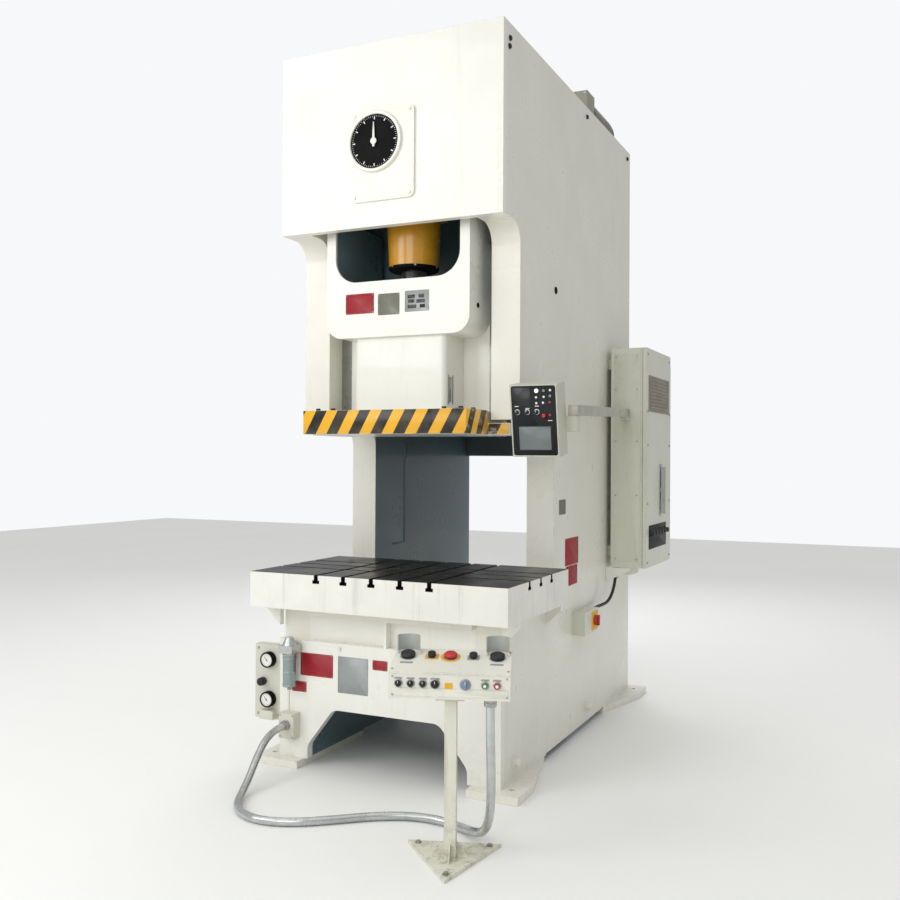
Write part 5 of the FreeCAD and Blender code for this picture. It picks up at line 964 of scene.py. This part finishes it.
def on_lid(x, along=0.0):
    return (CONSOLE @ shifted(x, 0.050, LID_SPOT) @ Matrix.Rotation(SLOPE, 4, "X")
            @ shifted(0, along))


def on_front(x, z=0.680):
    return CONSOLE @ shifted(x, -0.070, z) @ Matrix.Rotation(math.pi / 2, 4, "X")


red_moulding = finish_of("red_moulding", "C21820", "A31219", gloss=0.26, patches=14, coat=0.4,
                         dirt="4A0D10", dirt_amount=0.3, wear_amount=0.2)
green_moulding = finish_of("green_moulding", "12805A", "0D6A49", gloss=0.26, patches=14, coat=0.4,
                           dirt_amount=0.2, wear_amount=0.2)
yellow_moulding = finish_of("yellow_moulding", "EDB51E", "D69E12", gloss=0.32, patches=14,
                            dirt_amount=0.3, wear_amount=0.2)
blue_grey = finish_of("blue_grey_moulding", "7E8FA6", "6B7B92", gloss=0.3, patches=14,
                      dirt_amount=0.2, wear_amount=0.2)


def button(node, where, body, finish, profile):
    """A moulded cap turned to its own profile, in place of the plain one."""
    bm = bmesh.new()
    turned_shape(bm, where, profile, 40)
    made = show(node + "_cap", bm, body, finish, 35)
    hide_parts(node)


def mushroom(radius, stem, foot, high):
    """Profile of a domed button head on its stem."""
    return [(stem, -0.012), (stem, foot), (radius * 0.86, foot + 0.0005),
            (radius * 0.97, foot + high * 0.16), (radius, foot + high * 0.36),
            (radius * 0.96, foot + high * 0.6), (radius * 0.82, foot + high * 0.82),
            (radius * 0.55, foot + high * 0.96), (radius * 0.25, foot + high), (0, foot + high)]


button("palm_button_left", on_lid(-0.172), "palm_button_left", black_moulding,
       mushroom(0.029, 0.0238, 0.006, 0.014))
button("palm_button_right", on_lid(0.172), "palm_button_right", black_moulding,
       mushroom(0.029, 0.0238, 0.006, 0.014))
button("stop_button", on_lid(-0.008), "stop_button", red_moulding,
       mushroom(0.026, 0.0208, 0.006, 0.014))
for name, x in (("inch_button_left", -0.080), ("inch_button_right", 0.080)):
    button(name, on_lid(x), name, black_moulding,
           [(0.0108, -0.012), (0.0108, 0.006), (0.0155, 0.0065), (0.0158, 0.017),
            (0.0140, 0.0195), (0.0120, 0.0185), (0, 0.0180)])
for name, x, finish, slot in (("run_button", 0.133, green_moulding, "green_plastic"),
                              ("halt_button", 0.178, red_moulding, "red_plastic")):
    button(name, on_front(x), name, finish,
           [(0.0053, -0.012), (0.0053, 0.005), (0.0106, 0.0055), (0.0109, 0.0165),
            (0.0095, 0.0188), (0.0078, 0.0178), (0, 0.0172)])
    bm = bmesh.new()
    turned_shape(bm, on_front(x), [(0.0058, 0.0174), (0.0058, 0.0184), (0, 0.0184)], 24)
    show(name + "_window", bm, name, mark_white)
rings = bmesh.new()
for x, radius in ((-0.172, 0.0240), (0.172, 0.0240), (-0.008, 0.0210), (-0.080, 0.0110),
                  (0.080, 0.0110)):
    ring_shape(rings, on_lid(x), [(radius + 0.0006, 0), (radius + 0.0075, 0),
                                  (radius + 0.0075, 0.0010), (radius + 0.006, 0.0018),
                                  (radius + 0.0006, 0.0018)], 48)
for x, radius in ((-0.191, 0.012), (-0.145, 0.012), (-0.099, 0.012), (-0.053, 0.015),
                  (0.060, 0.017), (0.133, 0.011), (0.178, 0.011)):
    ring_shape(rings, on_front(x), [(radius + 0.0008, 0), (radius + 0.0042, 0),
                                    (radius + 0.0042, 0.0016), (radius + 0.002, 0.0038),
                                    (radius + 0.0008, 0.0038)], 40)
show("button_collars", rings, "frame", zinc)
for name, x, radius in (("console_knob_1", -0.191, 0.012), ("console_knob_2", -0.145, 0.012),
                        ("console_knob_3", -0.099, 0.012), ("console_knob_4", -0.053, 0.015),
                        ("mode_selector", 0.060, 0.017)):
    finish, slot = ((blue_grey, "grey_paint") if name == "mode_selector"
                    else (black_moulding, "black_plastic"))
    bm = bmesh.new()
    turned_shape(bm, on_front(x), [(radius * 0.5, -0.012), (radius * 0.5, 0.0050),
                                   (radius * 0.98, 0.0055), (radius, 0.010),
                                   (radius * 0.90, 0.0118), (0, 0.0120)], 36)
    soft_block(bm, on_front(x) @ shifted(z=0.0105), (radius * 0.62, radius * 1.86, 0.0083),
               0.0018, 3)
    knob = show(name + "_grip", bm, name, finish, 40)
    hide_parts(name)
    bm = bmesh.new()
    soft_block(bm, on_front(x) @ shifted(0, radius * 0.5, 0.0187), (0.0018, radius * 0.7, 0.0004),
               0.0001, 1)
    show(name + "_pointer", bm, name, mark_white)
bm = bmesh.new()
turned_shape(bm, on_lid(-0.008), [(0.0385, 0.0), (0.0385, 0.0009), (0, 0.0009)], 48)
flat_shape(bm, on_lid(-0.080), rounded_outline(0.052, 0.044, 0.003), 0.0009)
flat_shape(bm, on_front(-0.002, 0.672), rounded_outline(0.030, 0.026, 0.003), 0.0009)
show("yellow_legends", bm, "frame", yellow_moulding)
bm = bmesh.new()
for x, wide in ((-0.191, 0.030), (-0.145, 0.030), (-0.099, 0.030), (-0.053, 0.034),
                (0.133, 0.030), (0.178, 0.030)):
    flat_shape(bm, on_front(x, 0.6985), rounded_outline(wide, 0.0065, 0.001), 0.0007)
flat_shape(bm, on_lid(0.080), rounded_outline(0.046, 0.040, 0.003), 0.0008)
for x in (-0.172, 0.172):
    flat_shape(bm, on_lid(x, -0.052), rounded_outline(0.050, 0.012, 0.002), 0.0008)
show("blank_legends", bm, "frame", plate_grey)
bm = bmesh.new()
flat_shape(bm, CONSOLE @ shifted(0, -0.0705, 0.6475) @ Matrix.Rotation(math.pi / 2, 4, "X"),
           rounded_outline(0.438, 0.030, 0.002), 0.0012, 0.0004)
soft_block(bm, CONSOLE @ shifted(0, -0.070, 0.7165) @ Matrix.Rotation(math.pi / 2, 4, "X"),
           (0.452, 0.003, 0.0022), 0.0008)
show("console_folds", bm, "frame", console_enamel)
screwed("console_screws", [on_front(x, z) for x in (-0.214, 0.214) for z in (0.637, 0.705)]
        + [CONSOLE @ shifted(x, 0.050, LID_SPOT) @ Matrix.Rotation(SLOPE, 4, "X")
           @ shifted(0, y) for x in (-0.218, 0.218) for y in (-0.105, 0.045)]
        + [CONSOLE @ shifted(x, 0.110, z) @ Matrix.Rotation(-math.pi / 2, 4, "X")
           for x in (-0.20, 0.20) for z in (0.645, 0.745)],
        "frame", zinc, 0.0038, 0.0024, 14, 1.0)
bm = bmesh.new()
foot = CONSOLE @ shifted(0, 0, 0.012)
for quarter in range(4):
    gusset = (foot @ Matrix.Rotation(quarter * math.pi / 2, 4, "Z") @ shifted(0.0225, 0.002, 0)
              @ Matrix.Rotation(math.pi / 2, 4, "X"))
    flat_shape(bm, gusset, [(0, 0), (0.046, 0), (0.046, 0.006), (0.006, 0.060), (0, 0.060)], 0.004)
flat_shape(bm, CONSOLE @ shifted(0, 0, 0.6145), rounded_outline(0.110, 0.110, 0.006), 0.0085, 0.001)
show("post_gussets", bm, "frame", post_enamel)
screwed("base_bolts", [CONSOLE @ shifted(x, y, 0.012) for x, y in
                       ((-0.140, 0.126), (0.140, 0.126), (0.0, -0.150))],
        "frame", zinc, 0.009, 0.007, 6, 1.6)
welded("post_welds", [[tuple((CONSOLE @ Vector((x, y, 0.0135)))[:]) for x, y in
                       ((-0.024, -0.024), (0.024, -0.024), (0.024, 0.024), (-0.024, 0.024),
                        (-0.024, -0.0235))]], "frame", post_enamel, 0.0035)

# ---------------------------------------------------------------- control cabinet
# A sheet-steel cabinet hangs on rails at the right rear. Its door faces the side and has a
# vented upper panel, a long turn handle and a row of cable entries; its feed comes up below.
cabinet_enamel = finish_of("cabinet_enamel", "D9DACB", "CCCDBC", dirt="77745F", gloss=0.3,
                           dirt_amount=0.3, wear_amount=0.6, coat=0.2)
wear_finish(cabinet_enamel, "control_cabinet", "cabinet_door", "disconnect_box")
door_brown = finish_of("vent_panel", "8D8779", "7C766A", dirt="3E3A31", gloss=0.42, patches=9,
                       dirt_amount=0.6)
satin_metal = finish_of("satin_metal", "B5B8B7", "9DA09F", metal=1.0, gloss=0.3, patches=30,
                        peel=600, dirt="4A463C", dirt_amount=0.3)
wear_finish(satin_metal, "cabinet_handle")
bm = bmesh.new()
flat_shape(bm, facing(0.840, 1.6865, 1.908, "right"), rounded_outline(0.539, 0.216, 0.008),
           0.0022, 0.0008)
show("door_vent_plate", bm, "door", door_brown)
slats("door_vent_slats", facing(0.8425, 1.6865, 1.908, "right"), "door",
      door_brown, 9, 0.0205, 0.470, 0.015, 0.0018, 0.62)
bm = bmesh.new()
flat_shape(bm, facing(0.840, 1.726, 1.322, "right"), rounded_outline(0.058, 0.322, 0.010),
           0.003, 0.001)
turned_shape(bm, facing(0.843, 1.726, 1.322, "right"), [(0.017, 0), (0.016, 0.0035), (0, 0.0035)],
             28)
turned_shape(bm, facing(0.843, 1.726, 1.222, "right"), [(0.011, 0), (0.011, 0.005), (0.008, 0.007),
                                                        (0, 0.007)], 28)
show("handle_plate", bm, "door", satin_metal)
bm = bmesh.new()
for y in (1.470, 1.545, 1.620, 1.695, 1.770, 1.845):
    wide = 0.020 if y < 1.75 else 0.015
    turned_shape(bm, facing(0.840, y, 1.070, "right"),
                 [(wide * 1.35, 0), (wide * 1.35, 0.006), (wide, 0.008), (wide, 0.024),
                  (wide * 0.8, 0.028), (0, 0.028)], 24)
flat_shape(bm, facing(0.840, 1.658, 1.046, "right"), rounded_outline(0.452, 0.143, 0.008), 0.0016,
           0.0006)
show("door_entries", bm, "door", black_moulding)
screwed("door_screws", [facing(0.840, y, z, "right") for y in (1.40, 1.97)
                        for z in (0.90, 1.25, 1.60, 1.80, 2.14)],
        "door", zinc, 0.006, 0.004, 14, 1.2)
bm = bmesh.new()
CABINET_LOW, CABINET_HIGH = 0.868, 2.176
for x in (0.630, 0.808):
    soft_block(bm, facing(x, 1.368, (CABINET_LOW + CABINET_HIGH) / 2),
               (0.006, CABINET_HIGH - CABINET_LOW - 0.02, 0.0022), 0.0008)
flat_shape(bm, facing(0.719, 1.368, 1.522), rounded_outline(0.150, 1.240, 0.004), 0.0012, 0.0005)
show("cabinet_front_sheet", bm, "frame", cabinet_enamel)
screwed("cabinet_front_screws", [facing(x, 1.3668, z) for x in (0.655, 0.783)
                                 for z in (0.92, 1.30, 1.62, 1.93, 2.125)],
        "frame", zinc, 0.0048, 0.003, 14, 1.2)
bm = bmesh.new()
for y in (1.46, 1.62, 1.78):
    turned_shape(bm, facing(0.705, y, 0.868, "down"), [(0.024, 0), (0.024, 0.010), (0.018, 0.014),
                                                       (0.018, 0.030), (0, 0.030)], 24)
for x in (0.660, 0.735):
    turned_shape(bm, facing(x, 1.3995, 0.868, "down"), [(0.016, 0), (0.016, 0.008), (0.012, 0.011),
                                                       (0, 0.011)], 24)
show("cabinet_grommets", bm, "frame", black_moulding)
# The cabinet's bracket takes the whiter front copy of the cream: painted light.
bm = bmesh.new()
flat_shape(bm, facing(0.596, 1.364, 0.866) @ shifted(0, 0, -0.008),
           [(0.0, 0.0), (0.0, -0.082), (0.012, -0.082), (0.150, -0.014), (0.150, 0.0)], 0.006)
show("cabinet_bracket", bm, "frame", front_enamel_painted_lit)

# ---------------------------------------------------------------- isolator
# A small steel box on the frame's side holds the mains isolator: a red handle on a yellow plate.
bm = bmesh.new()
flat_shape(bm, facing(0.667, 0.908, 0.6235, "right"), rounded_outline(0.112, 0.104, 0.005),
           0.0018, 0.0006)
show("isolator_plate", bm, "frame", yellow_moulding)
KNOB = facing(0.672, 0.908, 0.6235, "right")
bm = bmesh.new()
turned_shape(bm, KNOB, [(0.009, -0.006), (0.009, 0), (0.029, 0.0005), (0.030, 0.004),
                        (0.028, 0.0115), (0.024, 0.013), (0, 0.013)], 44)
soft_block(bm, KNOB @ shifted(z=0.009), (0.016, 0.058, 0.0168), 0.004, 3)
turned = show("isolator_handle", bm, "disconnect_knob", red_moulding, 40)
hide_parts("disconnect_handle")
screwed("isolator_screws", [facing(0.6688, 0.908 + sy * 0.045, 0.6235 + sz * 0.041, "right")
                            for sy in (-1, 1) for sz in (-1, 1)],
        "frame", zinc, 0.0036, 0.0022, 14, 1.0)

# ---------------------------------------------------------------- swing arm and pendant
# A square aluminium arm swings on a pin at the cabinet and carries the pendant: a cast box with
# a black membrane face, a dark readout, a row of lamps, three selectors, a stop and a grey screen.
arm_metal = finish_of("arm_metal", "B4B2A4", "A3A193", metal=0.2, gloss=0.3, patches=10,
                      dirt="5A574C", dirt_amount=0.3)
wear_finish(arm_metal, "pendant_arm")
pendant_enamel = finish_of("pendant_enamel", "C8C9B9", "B9BAA9", dirt="6A6856", gloss=0.34,
                           dirt_amount=0.3, wear_amount=0.7)
wear_finish(pendant_enamel, "pendant_housing")
PENDANT = shifted(0.712, -0.185, 1.688) @ Matrix.Rotation(math.radians(9), 4, "X")


def on_pendant(x, z, out=0.0):
    return PENDANT @ shifted(x, -out, z) @ Matrix.Rotation(math.pi / 2, 4, "X")


def on_pendant_share(across, down, out=0.0):
    """A place given as shares of the face's width and height from its upper left corner."""
    return on_pendant(-0.113 + 0.226 * across, 0.165 - 0.330 * down, out)


membrane = finish_of("membrane", "141619", "1C1F23", gloss=0.35, patches=16, peel=500,
                     dirt="4A483E", dirt_amount=0.25, wear_amount=0.0)
bm = bmesh.new()
flat_shape(bm, on_pendant(0, 0), rounded_outline(0.212, 0.316, 0.010, 6), 0.0016, 0.0006)
show("pendant_membrane", bm, "pendant", membrane)
bm = bmesh.new()
ring = rounded_outline(0.222, 0.326, 0.012, 6)
inner = rounded_outline(0.2125, 0.3165, 0.010, 6)
lift = on_pendant(0, 0)
rows = [[bm.verts.new(lift @ Vector((x, y, h))) for x, y in shape]
        for shape, h in ((ring, 0.0), (ring, 0.0030), (inner, 0.0030), (inner, 0.0))]
for a, b in zip(rows, rows[1:] + rows[:1]):
    for k in range(len(ring)):
        n = (k + 1) % len(ring)
        bm.faces.new((a[k], a[n], b[n], b[k]))
show("pendant_bezel", bm, "pendant", pendant_enamel)
membrane.node_tree.nodes["Principled BSDF"].inputs["Specular IOR Level"].default_value = 0.2
readout = finish_of("dark_readout", "14191A", "1B2122", gloss=0.35, patches=9, dirt_amount=0.1,
                    wear_amount=0.0, coat=0.1)
screen = finish_of("grey_screen", "6C7472", "626A69", gloss=0.35, patches=7, dirt_amount=0.1,
                   wear_amount=0.0, coat=0.15)
bm = bmesh.new()
flat_shape(bm, on_pendant_share(0.245, 0.168, 0.0016), rounded_outline(0.086, 0.082, 0.003), 0.0008,
           0.0003)
show("pendant_readout", bm, "pendant", readout)
bm = bmesh.new()
flat_shape(bm, on_pendant_share(0.5, 0.740, 0.0016), rounded_outline(0.152, 0.1085, 0.003), 0.0008,
           0.0003)
show("pendant_screen", bm, "pendant", screen)
bm = bmesh.new()
for across, down, wide, tall in ((0.5, 0.575, 0.162, 0.003), (0.5, 0.905, 0.162, 0.003),
                                 (0.138, 0.740, 0.003, 0.112), (0.862, 0.740, 0.003, 0.112)):
    soft_block(bm, on_pendant_share(across, down, 0.0016), (wide, tall, 0.0024), 0.0008)
show("screen_frame", bm, "pendant", black_moulding)
bm = bmesh.new()
for across, down in ((0.72, 0.09), (0.86, 0.086), (0.56, 0.18), (0.72, 0.175), (0.85, 0.165),
                     (0.56, 0.26), (0.70, 0.255), (0.84, 0.25)):
    turned_shape(bm, on_pendant_share(across, down, 0.0016),
                 [(0.0052, 0), (0.0052, 0.0012), (0.0036, 0.0020), (0, 0.0023)], 20)
for across, down in ((0.138, 0.300), (0.369, 0.330), (0.570, 0.300), (0.834, 0.500)):
    soft_block(bm, on_pendant_share(across, down, 0.0016), (0.020, 0.0034, 0.0004), 0.0001, 1)
show("pendant_lamps", bm, "pendant", mark_white)
lamp_white = finish_of("lit_lamp", "F4F7F2", "FFFFFF", gloss=0.2, patches=9, dirt_amount=0.0,
                       wear_amount=0.0, emit=0.6)
bm = bmesh.new()
turned_shape(bm, on_pendant_share(0.572, 0.09, 0.0016),
             [(0.0095, 0), (0.0095, 0.002), (0.007, 0.0035), (0, 0.004)], 28)
show("pendant_lit_lamp", bm, "pendant", lamp_white)
bm = bmesh.new()
for across, down in ((0.72, 0.09), (0.85, 0.165)):
    turned_shape(bm, on_pendant_share(across, down, 0.0016),
                 [(0.0040, 0), (0.0040, 0.0022), (0.0028, 0.0031), (0, 0.0034)], 20)
show("pendant_green_lamps", bm, "pendant", green_moulding)
bm = bmesh.new()
for across, down in ((0.84, 0.25), (0.834, 0.424)):
    turned_shape(bm, on_pendant_share(across, down, 0.0016),
                 [(0.0056, 0), (0.0056, 0.0022), (0.004, 0.0035), (0, 0.0040)], 20)
show("pendant_red_lamps", bm, "pendant", red_moulding)
for name, x, z in (("pendant_selector_left", -0.080, 0.040),
                   ("pendant_selector_mid", -0.032, 0.040),
                   ("pendant_selector_right", 0.014, 0.040)):
    bm = bmesh.new()
    turned_shape(bm, on_pendant(x, z), [(0.0048, -0.010), (0.0048, 0.005), (0.0098, 0.0055),
                                        (0.0100, 0.010), (0.0088, 0.0118), (0, 0.0120)], 32)
    soft_block(bm, on_pendant(x, z) @ shifted(z=0.0105), (0.0062, 0.0188, 0.0083), 0.0016, 3)
    made = show(name + "_grip", bm, name, black_moulding, 40)
    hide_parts(name)
    bm = bmesh.new()
    soft_block(bm, on_pendant(x, z) @ shifted(0, 0.0045, 0.0187), (0.0016, 0.0088, 0.0004),
               0.0001, 1)
    show(name + "_pointer", bm, name, mark_white)
    bm = bmesh.new()
    ring_shape(bm, on_pendant(x, z, 0.0016), [(0.0055, 0), (0.0135, 0), (0.0135, 0.0012),
                                              (0.0115, 0.0026), (0.0055, 0.0026)], 36)
    show(name + "_collar", bm, "pendant", zinc)
button("pendant_stop", on_pendant(0.050, 0.024), "pendant_stop", red_moulding,
       [(0.0048, -0.010), (0.0048, 0.006), (0.0094, 0.0065), (0.0100, 0.0105), (0.0096, 0.0150),
        (0.0076, 0.0178), (0.0040, 0.0190), (0, 0.0190)])
screwed("pendant_screws", [PENDANT @ shifted(sx * 0.095, 0.110, sz * 0.147)
                           @ Matrix.Rotation(-math.pi / 2, 4, "X")
                           for sx in (-1, 1) for sz in (-1, 1)],
        "pendant", zinc, 0.0040, 0.0028, 14, 1.2)
bm = bmesh.new()
soft_block(bm, PENDANT @ shifted(0, 0.108, 0.0) @ Matrix.Rotation(-math.pi / 2, 4, "X"),
           (0.206, 0.310, 0.0035), 0.001)
show("pendant_back_cover", bm, "pendant", pendant_enamel)
ARM_TURN = math.radians(5.9)
ARM = shifted(0.715, 1.330, 1.786) @ Matrix.Rotation(ARM_TURN, 4, "Z")
bm = bmesh.new()
soft_block(bm, ARM @ shifted(0, -1.4152, -0.048) @ Matrix.Rotation(math.pi / 2, 4, "X"),
           (0.046, 0.046, 0.003), 0.001)
show("arm_end_cap", bm, "arm", arm_metal)

# ---------------------------------------------------------------- motor and belt guard
# The drive motor lies on the crown's rear with its ribbed barrel and slotted fan cowl, and the
# belt runs down to the flywheel inside a folded sheet guard with louvres.
motor_grey = finish_of("motor_grey", "7B7A70", "6B6A61", dirt="3A372E", gloss=0.4, patches=8,
                       dirt_amount=0.6, wear_amount=0.8)
wear_finish(motor_grey, "motor")
guard_enamel = finish_of("guard_enamel", "9A988A", "8A887A", dirt="45423A", gloss=0.38, patches=5,
                         dirt_amount=0.5)
wear_finish(guard_enamel, "belt_guard")
belt_rubber = finish_of("belt_rubber", "1B1B1C", "28282A", gloss=0.6, patches=30, dirt_amount=0.4,
                        wear_amount=0.0)
wear_finish(belt_rubber, "drive_belt")
MOTOR = facing(0.395, 1.412, 3.620, "back")
RIB_ROOM = 0.1119
ring_marks("motor_ribs", MOTOR @ shifted(z=0.190), "frame", motor_grey,
           30, RIB_ROOM - 0.0065, 0.012, 0.0040, 0.300)
bm = bmesh.new()
for out, radius in ((0.012, 0.1118), (0.368, 0.1118)):
    ring_shape(bm, MOTOR @ shifted(z=out), [(0.100, -0.010), (radius, -0.010), (radius, 0.010),
                                            (0.100, 0.010)], 56)
show("motor_end_rings", bm, "frame", motor_grey)
slats("motor_cowl_slots", facing(0.395, 1.8525, 3.620, "back"), "frame",
      black_moulding, 9, 0.017, 0.130, 0.006, 0.0016, 0.0)
slats("belt_guard_louvres", facing(0.353, 1.246, 3.606), "frame", guard_enamel,
      7, 0.020, 0.190, 0.013, 0.0018, 0.6)
screwed("belt_guard_screws", [facing(x, 1.246, z) for x in (0.212, 0.494) for z in (3.515, 3.700)],
        "frame", zinc, 0.006, 0.004, 6, 1.5)
bm = bmesh.new()
for x, y in ((-0.42, 0.30), (0.42, 0.30), (-0.42, 1.70), (0.10, 1.70)):
    turned_shape(bm, facing(x, y, 3.5, "up"), [(0.040, 0), (0.040, 0.010), (0.026, 0.014),
                                               (0.020, 0.030), (0.0, 0.030)], 32)
    ring_shape(bm, shifted(x, y, 3.562) @ Matrix.Rotation(math.pi / 2, 4, "X"),
               [(0.024 + 0.009 * math.cos(t), 0.009 * math.sin(t))
                for t in (math.tau * k / 10 for k in range(10))], 32)
show("lifting_eyes", bm, "frame", black_oxide)
